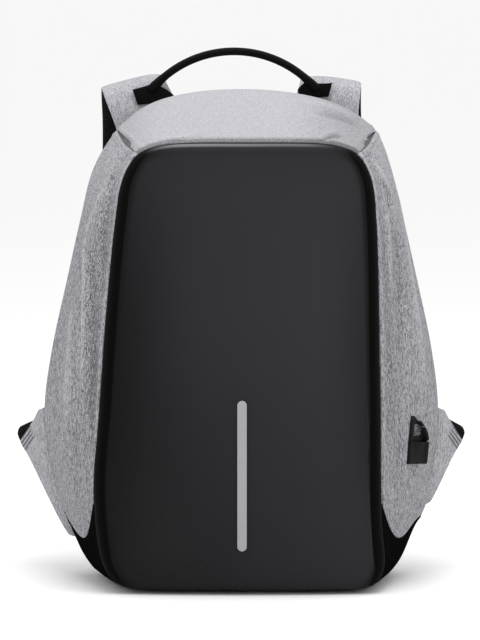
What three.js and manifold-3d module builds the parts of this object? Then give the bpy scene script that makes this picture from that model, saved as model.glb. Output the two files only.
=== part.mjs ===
// An anti-theft backpack, zipped shut and standing on its base with its shoulder straps hanging behind.
// Millimetres. +Z is up, -Y points out of the front panel, +X is the right of someone who looks at the front.
// The origin is on the floor, in the middle of the flat of the base.
import * as THREE from "three";
import { mergeVertices } from "three/addons/utils/BufferGeometryUtils.js";
import Module from "manifold-3d";

const wasm = await Module();
wasm.setup();

// The bag's overall sizes.
const bodyHeight = 430;
const bodyWidth = 350;
const bodyDepth = 150;

// Cloth and board thicknesses.
const clothWall = 2.4;
const panelWall = 3;
const zipWall = 1.6;
const webbingWall = 1.8;

// The front panel: how far its face bows out, and the roll round its edge.
const panelBow = 14;
const rollWidth = 11;
const rollDepth = 16;

// The sleeve of cloth round the sides: where it is fullest, and how round it is in front of that.
const fullestAt = 0.74;
const sideRoundness = 0.5;

// The slits and clearances between sewn pieces.
const seamClearance = 0.4;
const panelClearance = 0.6;
const seamMouth = 3.2; // how far the hood's side seam gapes

// The stripe on the front panel.
const stripeWidth = 8;
const stripeLength = 129;
const stripeWall = 0.8;
const stripeFoot = 39; // height of its lower end

// The zip tape round the back, and the padded back panel inside it.
const zipWidth = 6;
const padEdge = 2.5;
const padRise = 7;
const padRound = 22;
const padChannel = 13;
const padInset = 1.5; // how far the back board sits inside the zip's plane
const strapSeatBand = 48; // the flat band at the back panel's top, where the straps are sewn

// The zip's slider: where it is parked along the outline, and its pull.
const sliderStation = 13.4;
const pullLength = 20;

// The shoulder straps.
const strapWidth = 59;
const strapEndWidth = 34;
const strapPad = 9;
const strapFace = 3;
const strapReach = 66; // how far the straps bow out behind the bag
const strapRootThin = 0.4; // the share of its thickness that a strap has where it is sewn down
const strapArch = 2.5; // how far a strap's edges curl down from its middle

// The webbing, its adjusters and the cloth wings that hold it.
const webbingWidth = 25;
const adjusterWidth = 34;
const adjusterLength = 27;
const adjusterWall = 3;
const adjusterBar = 4;
const adjusterCorner = 3;
const slotWidth = 26.5;
const tailLength = 62;
const loopLeg = 13;
const wingWall = 3;
const wingTuck = 6; // how far the webbing runs in behind the wing
const curlSlant = 0.28; // how much further the webbing's lower edge pokes out past the wing

// The carrying handle.
const handleSpan = 140;
const handleMiddle = -7; // the handle sits a little to the left
const handleRise = 30.5;
const handleThickness = 7.4;
const handleLift = 1; // how far the handle's ends stand above the body's height
const handleTabWall = 2.4;

// The charging port on the right side.
const portHeight = 42;
const portWidth = 24;
const portFlange = 2;
const portRim = 2.4;
const portRimHeight = 4.5;
const portBlockHeight = 20;
const portBlockDepth = 10.8;
const socketWidth = 12.4;
const socketGap = 6.6;
const socketDepth = 13;
const portAcross = 0.48; // place between the front panel's edge and the fullest line
const portFoot = 105; // height of the port's lower edge

// Three outlines seen from the front, from the middle of the bottom up the right half to the middle of the top:
// the front panel's edge, the fullest line of the sides, and the edge of the back opening.
// "Out" is a share of half the body's width, and "Up" a share of its height. Below the floor means pressed flat.
const STATIONS = [
  { panelOut: 0.0, panelUp: 0.004, bodyOut: 0.0, bodyUp: -0.04, backOut: 0.0, backUp: 0.012 },
  { panelOut: 0.36, panelUp: 0.004, bodyOut: 0.34, bodyUp: -0.04, backOut: 0.34, backUp: 0.012 },
  { panelOut: 0.61, panelUp: 0.006, bodyOut: 0.58, bodyUp: -0.032, backOut: 0.58, backUp: 0.015 },
  { panelOut: 0.692, panelUp: 0.042, bodyOut: 0.77, bodyUp: 0.014, backOut: 0.69, backUp: 0.036 },
  { panelOut: 0.704, panelUp: 0.12, bodyOut: 0.865, bodyUp: 0.097, backOut: 0.768, backUp: 0.104 },
  { panelOut: 0.706, panelUp: 0.223, bodyOut: 0.952, bodyUp: 0.2, backOut: 0.84, backUp: 0.2 },
  { panelOut: 0.692, panelUp: 0.344, bodyOut: 1.0, bodyUp: 0.33, backOut: 0.896, backUp: 0.328 },
  { panelOut: 0.677, panelUp: 0.485, bodyOut: 0.96, bodyUp: 0.469, backOut: 0.876, backUp: 0.466 },
  { panelOut: 0.662, panelUp: 0.624, bodyOut: 0.886, bodyUp: 0.606, backOut: 0.806, backUp: 0.602 },
  { panelOut: 0.642, panelUp: 0.743, bodyOut: 0.811, bodyUp: 0.74, backOut: 0.741, backUp: 0.733 },
  { panelOut: 0.615, panelUp: 0.822, bodyOut: 0.751, bodyUp: 0.837, backOut: 0.687, backUp: 0.822 },
  { panelOut: 0.542, panelUp: 0.872, bodyOut: 0.652, bodyUp: 0.915, backOut: 0.602, backUp: 0.883 },
  { panelOut: 0.418, panelUp: 0.891, bodyOut: 0.488, bodyUp: 0.967, backOut: 0.453, backUp: 0.925 },
  { panelOut: 0.219, panelUp: 0.895, bodyOut: 0.249, bodyUp: 0.993, backOut: 0.229, backUp: 0.943 },
  { panelOut: 0.0, panelUp: 0.895, bodyOut: 0.0, bodyUp: 1.0, backOut: 0.0, backUp: 0.948 },
];
// How far the stuffed bag sways to the right at each height, as shares of half its width.
const SWAY = [
  { up: 0.0, panel: 0.026, body: 0.018 },
  { up: 0.03, panel: 0.02, body: 0.006 },
  { up: 0.07, panel: 0.0, body: 0.002 },
  { up: 0.18, panel: -0.024, body: 0.0 },
  { up: 0.35, panel: -0.012, body: -0.004 },
  { up: 0.53, panel: 0.0, body: 0.0 },
  { up: 0.72, panel: 0.017, body: 0.0 },
  { up: 0.86, panel: 0.027, body: 0.003 },
  { up: 0.915, panel: 0.029, body: 0.022 },
  { up: 0.96, panel: 0.029, body: 0.01 },
  { up: 1.0, panel: 0.029, body: -0.008 },
];

const half = STATIONS.length - 1; // the station at the middle of the top
const loop = 2 * half; // stations once round, the left half counted back down

// The front panel's side profile: depth in front of the origin as a share of bodyDepth.
const PROFILE = [
  { up: 0.0, depth: 0.47 },
  { up: 0.12, depth: 0.5 },
  { up: 0.35, depth: 0.49 },
  { up: 0.6, depth: 0.41 },
  { up: 0.8, depth: 0.3 },
  { up: 0.9, depth: 0.22 },
  { up: 1.0, depth: 0.12 },
];

// The seam where the grey sides meet the black base, from the panel's edge (0) past the fullest line (1) to the back (2).
const BASE_SEAM = [
  { across: 0.0, station: 4.6 },
  { across: 0.12, station: 4.2 },
  { across: 0.28, station: 3.93 },
  { across: 0.48, station: 3.82 },
  { across: 0.74, station: 4.0 },
  { across: 1.0, station: 4.32 },
  { across: 2.0, station: 4.45 },
];
const hoodSeam = 11; // the station of the seam between side and hood

// Soft folds of the side cloth. side: 1 right, -1 left. A fold runs between two stations, and from one place across to
// another. width is a share of bodyDepth and height one of clothWall; a height below nothing is a hollow.
const FOLDS = [
  { side: -1, from: 10.9, to: 5.2, acrossFrom: 0.48, acrossTo: 0.42, width: 0.1, height: 1.5 },
  { side: -1, from: 11.3, to: 7.4, acrossFrom: 0.2, acrossTo: 0.14, width: 0.09, height: -1.2 },
  { side: -1, from: 8.5, to: 4.6, acrossFrom: 0.76, acrossTo: 0.68, width: 0.12, height: -1 },
  { side: 1, from: 10.8, to: 5.4, acrossFrom: 0.36, acrossTo: 0.74, width: 0.1, height: 1.4 },
  { side: 1, from: 11.2, to: 6.6, acrossFrom: 0.16, acrossTo: 0.36, width: 0.09, height: -1.5 },
  { side: 1, from: 8.6, to: 5.6, acrossFrom: 0.14, acrossTo: 0.1, width: 0.08, height: 0.8 },
];

// A strap's middle line from the seam at its top to its adjuster. left and right: places out from the middle, as shares
// of half the body's width. back is a share of strapReach and up one of bodyHeight. The turns tilt its outer edge up.
const STRAP_ROUTE = [
  { left: 0.44, right: 0.413, back: 0.0, up: 0.852, turnLeft: 0, turnRight: 0 },
  { left: 0.462, right: 0.419, back: 0.0, up: 0.912, turnLeft: 0, turnRight: 0 },
  { left: 0.5, right: 0.424, back: 0.0, up: 0.962, turnLeft: -3, turnRight: -1 },
  { left: 0.532, right: 0.434, back: 0.075, up: 0.992, turnLeft: -6, turnRight: -2 },
  { left: 0.55, right: 0.441, back: 0.3, up: 1.006, turnLeft: -8, turnRight: -2.5 },
  { left: 0.552, right: 0.441, back: 0.53, up: 0.986, turnLeft: -5, turnRight: -2 },
  { left: 0.547, right: 0.443, back: 0.68, up: 0.94, turnLeft: 0, turnRight: 2 },
  { left: 0.55, right: 0.462, back: 0.88, up: 0.845, turnLeft: 6, turnRight: 6 },
  { left: 0.566, right: 0.505, back: 1.0, up: 0.72, turnLeft: 10, turnRight: 10 },
  { left: 0.588, right: 0.55, back: 0.96, up: 0.6, turnLeft: 18, turnRight: 18 },
  { left: 0.61, right: 0.6, back: 0.76, up: 0.51, turnLeft: 30, turnRight: 30 },
];

// A wing's free corners, as shares of half the body's width, of how far back its opening is, and of its height.
// Its seam on the side runs between two stations.
const WINGS = {
  left: { tip: [1.11, 0.9, 0.274], top: [1.018, 0.68, 0.328], seamFrom: 3.75, seamTo: 6 },
  right: { tip: [1.1, 0.9, 0.276], top: [1.016, 0.68, 0.328], seamFrom: 4.35, seamTo: 6 },
};
const wingOf = (side) => (side > 0 ? WINGS.right : WINGS.left);

const frontY = -bodyDepth / 2;
const backY = -frontY - 5;
const strapSeatY = backY + padEdge + seamClearance;
const strapLineY = strapSeatY + strapFace * strapRootThin + seamClearance / 2;
const lerp = THREE.MathUtils.lerp;
const radians = THREE.MathUtils.degToRad;
const point = (x, y, z) => new THREE.Vector3(x, y, z);

// A column of a table, read between its rows on a smooth curve. by is the column that the place is measured along.
function readTable(rows, by, column, at) {
  const last = rows.length - 1;
  let i = 0;
  while (i < last - 1 && rows[i + 1][by] < at) i += 1;
  const [a, b] = [rows[i], rows[i + 1]];
  const span = b[by] - a[by];
  const slope = (p, q) => (rows[q][column] - rows[p][column]) / (rows[q][by] - rows[p][by]);
  const start = slope(Math.max(i - 1, 0), i + 1) * span;
  const end = slope(i, Math.min(i + 2, last)) * span;
  const t = THREE.MathUtils.clamp((at - a[by]) / span, 0, 1);
  const h = t * t * (3 - 2 * t);
  return (
    a[column] * (1 - h) + b[column] * h + start * t * (1 - t) ** 2 - end * t * t * (1 - t)
  );
}

// A closed outline through the stations, mirrored for the left half and swayed.
function outline(out, up, sway) {
  const points = [];
  for (let station = 0; station < loop; station += 1) {
    const row = STATIONS[station <= half ? station : loop - station];
    const side = station <= half ? 1 : -1;
    const shift = readTable(SWAY, "up", sway, row[up]);
    points.push(point(((side * row[out] + shift) * bodyWidth) / 2, 0, row[up] * bodyHeight));
  }
  const curve = new THREE.CatmullRomCurve3(points, true, "centripetal");
  return (station) => curve.getPoint(THREE.MathUtils.euclideanModulo(station / loop, 1));
}
const panelShape = outline("panelOut", "panelUp", "panel");
const bodyShape = outline("bodyOut", "bodyUp", "body");
const backShape = outline("backOut", "backUp", "body");

// The direction out of an outline, in its own plane.
function outwardOf(shape, station) {
  const step = 0.02;
  const along = shape(station + step).sub(shape(station - step));
  return point(along.z, 0, -along.x).normalize();
}

// Place along Y of the front panel's face.
function faceDepth(x, z) {
  const bow = panelBow * (0.55 + 0.45 * Math.sin((Math.PI * z) / bodyHeight));
  const across = x / (bodyWidth * 0.35);
  return -readTable(PROFILE, "up", "depth", z / bodyHeight) * bodyDepth - bow * (1 - across * across);
}

function faceNormal(x, z) {
  const step = 0.5;
  const slopeX = (faceDepth(x + step, z) - faceDepth(x - step, z)) / (2 * step);
  const slopeZ = (faceDepth(x, z + step) - faceDepth(x, z - step)) / (2 * step);
  return point(slopeX, -1, slopeZ).normalize();
}

// A point on the roll round the panel. turn 0 lies on its face and a quarter turn on its edge; inset goes into the wall.
function rollPoint(station, turn, inset = 0) {
  const outward = outwardOf(panelShape, station);
  const start = panelShape(station).addScaledVector(outward, -rollWidth);
  const p = start.clone().addScaledVector(outward, (rollWidth - inset) * Math.sin(turn));
  p.y = faceDepth(start.x, start.z) + rollDepth - (rollDepth - inset) * Math.cos(turn);
  return p;
}

// The sleeve of cloth from the panel's edge (across 0) over the fullest line (1) to the back opening (2).
function sleeveSurface(station, across) {
  const edge = rollPoint(station, Math.PI / 2);
  const body = bodyShape(station);
  const back = backShape(station);
  const fullestY = lerp(edge.y, backY, fullestAt);
  let p;
  if (across <= 1) {
    const ease = lerp(across, Math.sin((across * Math.PI) / 2), sideRoundness);
    p = point(lerp(edge.x, body.x, ease), lerp(edge.y, fullestY, across), lerp(edge.z, body.z, ease));
  } else {
    const turn = ((across - 1) * Math.PI) / 2;
    p = point(lerp(back.x, body.x, Math.cos(turn)), 0, lerp(back.z, body.z, Math.cos(turn)));
    p.y = lerp(fullestY, backY, Math.sin(turn));
  }
  p.z = Math.max(p.z, 0);
  return p;
}

function sleeveNormal(station, across) {
  const step = 0.03;
  const low = Math.max(across - step, 0);
  const high = Math.min(across + step, 2);
  const backward = sleeveSurface(station, high).sub(sleeveSurface(station, low));
  const round = sleeveSurface(station + step, across).sub(sleeveSurface(station - step, across));
  return backward.cross(round).normalize();
}

// How far the folds lift the cloth.
function foldLift(station, across) {
  const side = station <= half ? 1 : -1;
  const level = station <= half ? station : loop - station;
  let lift = 0;
  for (const fold of FOLDS) {
    const along = (level - fold.from) / (fold.to - fold.from);
    if (fold.side !== side || along <= 0 || along >= 1) continue;
    const off = (across - lerp(fold.acrossFrom, fold.acrossTo, along)) * fullestAt;
    lift += fold.height * clothWall * Math.exp(-((off / fold.width) ** 2)) * Math.sin(Math.PI * along);
  }
  return lift;
}

function sleevePoint(station, across, offset = 0) {
  const lift = offset + foldLift(station, across);
  return sleeveSurface(station, across).addScaledVector(sleeveNormal(station, across), lift);
}

// How many stations, or how much across, makes one millimetre at a place on the sleeve.
function stationsPerMm(station, across) {
  const step = 0.05;
  return (2 * step) / sleeveSurface(station + step, across).distanceTo(sleeveSurface(station - step, across));
}
function acrossPerMm(station, across) {
  const step = 0.05;
  return (2 * step) / sleeveSurface(station, across + step).distanceTo(sleeveSurface(station, across - step));
}

// A geometry from points and triangles, turned the right way out.
function geometryOf(points, index) {
  let volume = 0;
  for (let i = 0; i < index.length; i += 3) {
    const [a, b, c] = [points[index[i]], points[index[i + 1]], points[index[i + 2]]];
    volume += a.dot(b.clone().cross(c));
  }
  const triangles = volume < 0 ? index.slice().reverse() : index;
  const geometry = new THREE.BufferGeometry();
  geometry.setAttribute("position", new THREE.Float32BufferAttribute(points.flatMap((p) => [p.x, p.y, p.z]), 3));
  geometry.setIndex(triangles);
  geometry.computeVertexNormals();
  return geometry;
}

// A closed wall between an outer and an inner sheet with the same faces.
function wallBetween(outer, inner, quads) {
  const count = outer.length;
  const index = [];
  const rim = new Map();
  const addQuad = (a, b, c, d) => index.push(a, b, c, a, c, d);
  for (const [a, b, c, d] of quads) {
    addQuad(a, b, c, d);
    addQuad(count + d, count + c, count + b, count + a);
    for (const [p, q] of [[a, b], [b, c], [c, d], [d, a]]) {
      if (!rim.delete(`${q} ${p}`)) rim.set(`${p} ${q}`, [p, q]);
    }
  }
  for (const [p, q] of rim.values()) addQuad(q, p, count + p, count + q);
  return geometryOf([...outer, ...inner], index);
}

// The faces of a grid of points, listed row by row.
function gridQuads(rows, columns) {
  const quads = [];
  for (let i = 0; i < rows; i += 1) {
    for (let j = 0; j < columns; j += 1) {
      const a = i * (columns + 1) + j;
      quads.push([a, a + 1, a + columns + 2, a + columns + 1]);
    }
  }
  return quads;
}

// Even places across the sleeve, closer together round its back corner.
const ACROSS = [0, 0.12, 0.26, 0.41, 0.56, 0.71, 0.86, 1, 1.3, 1.65, 2];

// A piece of the sleeve between two seams, each a function of the place across.
function sleevePiece(seamFrom, seamTo, steps, wall) {
  const [outer, inner] = [[], []];
  for (let i = 0; i <= steps; i += 1) {
    for (const place of ACROSS) {
      const station = lerp(seamFrom(place), seamTo(place), i / steps);
      const front = place === 0 ? panelClearance * acrossPerMm(station, 0.1) : 0;
      outer.push(sleevePoint(station, place + front));
      inner.push(sleevePoint(station, place + front, -wall));
    }
  }
  return wallBetween(outer, inner, gridQuads(steps, ACROSS.length - 1));
}

const baseSeam = (across) => readTable(BASE_SEAM, "across", "station", across);
const halfSlit = (station, across, slit = seamClearance) => (slit / 2) * stationsPerMm(station, across);

// The hood's seam gapes between the panel's edge and the fullest line.
function hoodSlit(across) {
  const mouth = Math.sin(Math.PI * THREE.MathUtils.clamp((across - 0.15) / 0.95, 0, 1));
  return seamClearance + seamMouth * mouth * mouth;
}

// Seams as the stations of a piece's edge. side is 1 for the right and -1 for the left; into is 1 for the piece above.
const atSide = (side, station) => (side > 0 ? station : loop - station);
function baseEdge(side, into) {
  return (across) => {
    const station = baseSeam(across);
    return atSide(side, station + into * halfSlit(station, across));
  };
}
function hoodEdge(side, into) {
  return (across) => atSide(side, hoodSeam + into * halfSlit(hoodSeam, across, hoodSlit(across)));
}

// The steps along each piece, so that neighbours share the same points.
const baseSteps = 14;
const hoodSteps = 14;
const sideSteps = 20;

// Every station once round at one place across, in the steps of the four pieces.
function stationsRound(across) {
  const seam = baseSeam(across);
  const runs = [
    [-seam, seam, baseSteps],
    [seam, hoodSeam, sideSteps],
    [hoodSeam, loop - hoodSeam, hoodSteps],
    [loop - hoodSeam, loop - seam, sideSteps],
  ];
  return runs.flatMap(([from, to, steps]) => Array.from({ length: steps }, (_, i) => lerp(from, to, i / steps)));
}

// A grid that fills a closed loop of points: bottom, right, top and left sides in turn. Rows run up, columns across.
function fillLoop(points, columns, rows) {
  const at = (i) => points[i % points.length];
  const bottom = (i) => at(i);
  const right = (j) => at(columns + j);
  const top = (i) => at(2 * columns + rows - i);
  const left = (j) => at(2 * columns + 2 * rows - j);
  const grid = [];
  for (let j = 0; j <= rows; j += 1) {
    for (let i = 0; i <= columns; i += 1) {
      const [u, v] = [i / columns, j / rows];
      const p = point(0, 0, 0);
      p.addScaledVector(bottom(i), 1 - v).addScaledVector(top(i), v);
      p.addScaledVector(left(j), 1 - u).addScaledVector(right(j), u);
      p.addScaledVector(bottom(0), -(1 - u) * (1 - v)).addScaledVector(bottom(columns), -u * (1 - v));
      p.addScaledVector(top(0), -(1 - u) * v).addScaledVector(top(columns), -u * v);
      grid.push(p);
    }
  }
  return grid;
}

// The indices of that grid's border, in the order of the loop.
function gridBorder(columns, rows) {
  const at = (i, j) => j * (columns + 1) + i;
  const border = [];
  for (let i = 0; i < columns; i += 1) border.push(at(i, 0));
  for (let j = 0; j < rows; j += 1) border.push(at(columns, j));
  for (let i = columns; i > 0; i -= 1) border.push(at(i, rows));
  for (let j = rows; j > 0; j -= 1) border.push(at(0, j));
  return border;
}

// The moulded front panel: a bowed face with a roll round its edge, open at the back.
function frontPanel() {
  const stations = stationsRound(0);
  const outer = [];
  const inner = [];
  for (const p of fillLoop(stations.map((station) => rollPoint(station, 0)), baseSteps, sideSteps)) {
    p.y = faceDepth(p.x, p.z);
    outer.push(p);
    inner.push(p.clone().addScaledVector(faceNormal(p.x, p.z), -panelWall));
  }
  const quads = gridQuads(sideSteps, baseSteps);
  let ring = gridBorder(baseSteps, sideSteps);
  for (const share of [1 / 3, 2 / 3, 1]) {
    const turn = (share * Math.PI) / 2;
    const next = stations.map((station) => {
      outer.push(rollPoint(station, turn));
      inner.push(rollPoint(station, turn, panelWall));
      return outer.length - 1;
    });
    const from = ring;
    next.forEach((here, i) => {
      const after = (i + 1) % next.length;
      quads.push([from[i], here, next[after], from[after]]);
    });
    ring = next;
  }
  return wallBetween(outer, inner, quads);
}

// A point on the back, inset from the edge of the opening in its own plane.
function backPoint(station, inset, y) {
  const p = backShape(station).addScaledVector(outwardOf(backShape, station), -inset);
  p.y = y;
  return p;
}

// The closed zip's tape, a flat ring round the back opening.
function zipTape() {
  const stations = stationsRound(2);
  const insets = [seamClearance, zipWidth];
  const outer = stations.flatMap((station) => insets.map((inset) => backPoint(station, inset, backY)));
  const inner = outer.map((p) => p.clone().setY(p.y - zipWall));
  const quads = stations.map((_, i) => {
    const next = (i + 1) % stations.length;
    return [2 * i, 2 * i + 1, 2 * next + 1, 2 * next];
  });
  return wallBetween(outer, inner, quads);
}

// The zip's slider with its pull, hanging down from the top of the back.
function zipSlider() {
  const at = backPoint(sliderStation, zipWidth / 2, backY);
  const body = roundedRectangle(new THREE.Shape(), 9, 5.6, 1.5);
  const pull = roundedRectangle(new THREE.Shape(), 5, pullLength, 1.5, -pullLength / 2 - 2);
  pull.holes.push(roundedRectangle(new THREE.Path(), 2, 7, 0.8, -pullLength + 4));
  const plate = (shape, depth, lift) => {
    const geometry = new THREE.ExtrudeGeometry(shape, { depth, bevelEnabled: false, curveSegments: 3 });
    return solidOf(geometry.rotateX(Math.PI / 2).translate(at.x, at.y + lift + depth, at.z));
  };
  return geometryFrom(plate(body, 4, seamClearance).add(plate(pull, 1.4, padEdge + 1)));
}

// How far the back's padding stands out: two pads with a channel between, and a flat band for the straps above them.
function padHeight(x, z, edgeDistance) {
  const round = THREE.MathUtils.smoothstep(edgeDistance, 0, padRound);
  const channel = 1 - 0.85 * Math.exp(-((x / padChannel) ** 2));
  const bandFoot = backShape(half).z - zipWidth - strapSeatBand;
  const below = THREE.MathUtils.smoothstep(bandFoot - z, 0, padRound);
  return padEdge + padRise * round * channel * below;
}

function backPanel() {
  const loopPoints = stationsRound(2).map((station) => backPoint(station, zipWidth + seamClearance, backY));
  const outer = fillLoop(loopPoints, baseSteps, sideSteps);
  const inner = outer.map((p) => p.clone().setY(backY - padInset));
  outer.forEach((p, i) => {
    const [column, row] = [i % (baseSteps + 1), Math.floor(i / (baseSteps + 1))];
    const sideways = (Math.min(column, baseSteps - column) / baseSteps) * bodyWidth * 0.8;
    const upright = (Math.min(row, sideSteps - row) / sideSteps) * bodyHeight * 0.9;
    p.y = backY + padHeight(p.x, p.z, Math.min(sideways, upright));
  });
  return wallBetween(outer, inner, gridQuads(sideSteps, baseSteps));
}

// The reflective stripe: a capsule laid on the panel's face.
function stripe() {
  const radius = stripeWidth / 2;
  const arcSteps = 6;
  const rows = [];
  for (let i = 0; i <= arcSteps; i += 1) {
    const turn = (Math.PI / 2) * (i / arcSteps);
    rows.push({ up: stripeFoot + radius * (1 - Math.cos(turn)), wide: Math.max(radius * Math.sin(turn), 0.3) });
  }
  const straight = stripeLength - 2 * radius;
  const straightSteps = 8;
  for (let i = 1; i < straightSteps; i += 1) {
    rows.push({ up: stripeFoot + radius + (straight * i) / straightSteps, wide: radius });
  }
  for (let i = arcSteps; i >= 0; i -= 1) {
    const { up, wide } = rows[i];
    rows.push({ up: 2 * stripeFoot + stripeLength - up, wide });
  }
  const laid = (row, side, lift) => {
    const p = point(side * row.wide, faceDepth(side * row.wide, row.up), row.up);
    return p.addScaledVector(faceNormal(p.x, p.z), lift);
  };
  const sheet = (lift) => rows.flatMap((row) => [-1, 0, 1].map((side) => laid(row, side, lift)));
  const seat = seamClearance;
  return wallBetween(sheet(seat + stripeWall), sheet(seat), gridQuads(rows.length - 1, 2));
}

// A bar swept along a path. at(t) gives its middle and its width and thickness directions; section(t) is a list of
// points [along width, along thickness], going round once.
function sweep(steps, at, section) {
  const points = [];
  const index = [];
  let sides = 0;
  for (let i = 0; i <= steps; i += 1) {
    const { middle, wide, thick } = at(i / steps);
    const ring = section(i / steps);
    sides = ring.length;
    for (const [w, t] of ring) points.push(middle.clone().addScaledVector(wide, w).addScaledVector(thick, t));
  }
  for (let i = 0; i < steps; i += 1) {
    for (let k = 0; k < sides; k += 1) {
      const [a, b] = [i * sides + k, i * sides + ((k + 1) % sides)];
      index.push(a, b, b + sides, a, b + sides, a + sides);
    }
  }
  for (const [start, forward] of [[0, false], [steps * sides, true]]) {
    for (let k = 1; k < sides - 1; k += 1) {
      const [b, c] = forward ? [start + k, start + k + 1] : [start + k + 1, start + k];
      index.push(start, b, c);
    }
  }
  return geometryOf(points, index);
}

// The middle line of a flat strap with its width direction: a curve through points, each with a direction.
function ribbon(rows) {
  const line = new THREE.CatmullRomCurve3(rows.map((row) => row.at), false, "centripetal");
  return (t) => {
    const place = Math.min(t, 1) * (rows.length - 1);
    const i = Math.min(Math.floor(place), rows.length - 2);
    const wide = rows[i].wide.clone().lerp(rows[i + 1].wide, place - i);
    const along = line.getTangent(t);
    wide.addScaledVector(along, -wide.dot(along)).normalize();
    return { middle: line.getPoint(t), wide, thick: along.clone().cross(wide).negate(), along };
  };
}

// The shoulder strap's route on one side. side: 1 right, -1 left.
function strapRibbon(side) {
  return ribbon(
    STRAP_ROUTE.map((row) => {
      const out = side > 0 ? row.right : -row.left;
      const turn = radians(side > 0 ? row.turnRight : row.turnLeft);
      return {
        at: point((out * bodyWidth) / 2, strapLineY + row.back * strapReach, row.up * bodyHeight),
        wide: point(Math.cos(turn), 0, side * Math.sin(turn)),
      };
    }),
  );
}

// A strap's width and fullness along it: thin where it is sewn down, and narrow at its lower end.
function strapWidthAt(t) {
  return lerp(strapWidth, strapEndWidth, THREE.MathUtils.smoothstep(t, 0.86, 1));
}
function strapFullness(t) {
  const root = THREE.MathUtils.smoothstep(t, 0.2, 0.36);
  const end = THREE.MathUtils.smoothstep(1 - t, 0, 0.1);
  return lerp(strapRootThin, 1, Math.min(root, 0.4 + 0.6 * end));
}

// Half a lens: flat on the strap's middle line and rounded to one side. Shares of the width and thickness.
const STRAP_SECTION = [
  { wide: -0.5, thick: 0 },
  { wide: 0, thick: 0 },
  { wide: 0.5, thick: 0 },
  { wide: 0.5, thick: 0.5 },
  { wide: 0.42, thick: 1 },
  { wide: 0, thick: 1 },
  { wide: -0.42, thick: 1 },
  { wide: -0.5, thick: 0.5 },
];
const strapSteps = 26;

function strapLayer(side, thickness, direction) {
  return sweep(strapSteps, strapRibbon(side), (t) => {
    const arch = strapArch * THREE.MathUtils.smoothstep(t, 0.2, 0.36) * THREE.MathUtils.smoothstep(1 - t, 0, 0.15);
    return STRAP_SECTION.map(({ wide, thick }) => [
      wide * strapWidthAt(t),
      direction * (seamClearance / 2 + thick * thickness * strapFullness(t)) - arch * 4 * wide * wide,
    ]);
  });
}

// A flat bar's section.
const flatSection = (width, thickness) => () => [
  [-width / 2, -thickness / 2],
  [width / 2, -thickness / 2],
  [width / 2, thickness / 2],
  [-width / 2, thickness / 2],
];

// The adjuster's frame: its middle and directions. down runs on from the strap, out is the strap's grey side.
function adjusterFrame(side) {
  const end = strapRibbon(side)(1);
  const down = end.along;
  const out = end.thick.clone().negate();
  const middle = end.middle.clone().addScaledVector(down, loopLeg + adjusterLength / 2 - adjusterBar);
  return { middle, down, out, wide: end.wide };
}
const slotHeight = (adjusterLength - 3 * adjusterBar) / 2;
const barOffset = (adjusterLength - adjusterBar) / 2;

function place(mesh, frame) {
  mesh.position.copy(frame.middle);
  mesh.quaternion.setFromRotationMatrix(new THREE.Matrix4().makeBasis(frame.wide, frame.up, frame.facing));
  return mesh;
}

function roundedRectangle(shape, width, height, radius, middleY = 0) {
  const [x, low, high] = [width / 2, middleY - height / 2, middleY + height / 2];
  shape.moveTo(-x + radius, low);
  shape.lineTo(x - radius, low);
  shape.absarc(x - radius, low + radius, radius, -Math.PI / 2, 0, false);
  shape.absarc(x - radius, high - radius, radius, 0, Math.PI / 2, false);
  shape.absarc(-x + radius, high - radius, radius, Math.PI / 2, Math.PI, false);
  shape.absarc(-x + radius, low + radius, radius, Math.PI, (3 * Math.PI) / 2, false);
  return shape;
}

// A plain two-slot strap adjuster.
function adjuster() {
  const shape = roundedRectangle(new THREE.Shape(), adjusterWidth, adjusterLength, adjusterCorner);
  for (const side of [-1, 1]) {
    const middle = (side * (slotHeight + adjusterBar)) / 2;
    shape.holes.push(roundedRectangle(new THREE.Path(), slotWidth, slotHeight, 0.8, middle));
  }
  const geometry = new THREE.ExtrudeGeometry(shape, { depth: adjusterWall, bevelEnabled: false, curveSegments: 3 });
  return geometry.translate(0, 0, -adjusterWall / 2);
}

// How far webbing's middle line runs from the middle of a bar that it is folded round.
const barClear = adjusterWall / 2 + seamClearance + webbingWall / 2;

// A fold of webbing round one of an adjuster's bars. Each leg's end is [how far down, how far out] from its middle.
function foldedWebbing(frame, barAt, direction, outerEnd, innerEnd) {
  const on = (down, out) =>
    frame.middle.clone().addScaledVector(frame.down, down).addScaledVector(frame.out, out);
  const reach = adjusterBar / 2 + seamClearance + webbingWall / 2;
  return [
    on(...outerEnd),
    on(barAt, barClear),
    on(barAt + direction * reach * 0.88, barClear * 0.88),
    on(barAt + direction * reach, 0),
    on(barAt + direction * reach * 0.88, -barClear * 0.88),
    on(barAt, -barClear),
    on(...innerEnd),
  ];
}

// The short loop that ties the adjuster to the strap.
function strapLoop(side) {
  const frame = adjusterFrame(side);
  const top = -barOffset;
  const legEnd = -loopLeg - adjusterLength / 2 + adjusterBar + seamClearance;
  const together = (webbingWall + seamClearance) / 2;
  const points = foldedWebbing(frame, top, 1, [legEnd, together], [legEnd, -together]);
  const at = ribbon(points.map((p) => ({ at: p, wide: frame.wide })));
  return sweep(18, at, flatSection(webbingWidth, webbingWall));
}

// The handle's flat ends, sewn to the straps beside it: corners round each, as shares of the handle's span out from its
// middle and of its rise above its feet.
const HANDLE_TABS = {
  left: [
    { out: 0.5235, up: 0.07 },
    { out: 0.569, up: -0.02 },
    { out: 0.641, up: -0.11 },
    { out: 0.61, up: -0.54 },
    { out: 0.509, up: -0.29 },
    { out: 0.421, up: -0.21 },
    { out: 0.4805, up: -0.14 },
  ],
  right: [
    { out: 0.5225, up: 0.07 },
    { out: 0.55, up: 0.035 },
    { out: 0.621, up: 0.09 },
    { out: 0.597, up: -0.31 },
    { out: 0.491, up: -0.24 },
    { out: 0.479, up: -0.135 },
  ],
};

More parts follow.
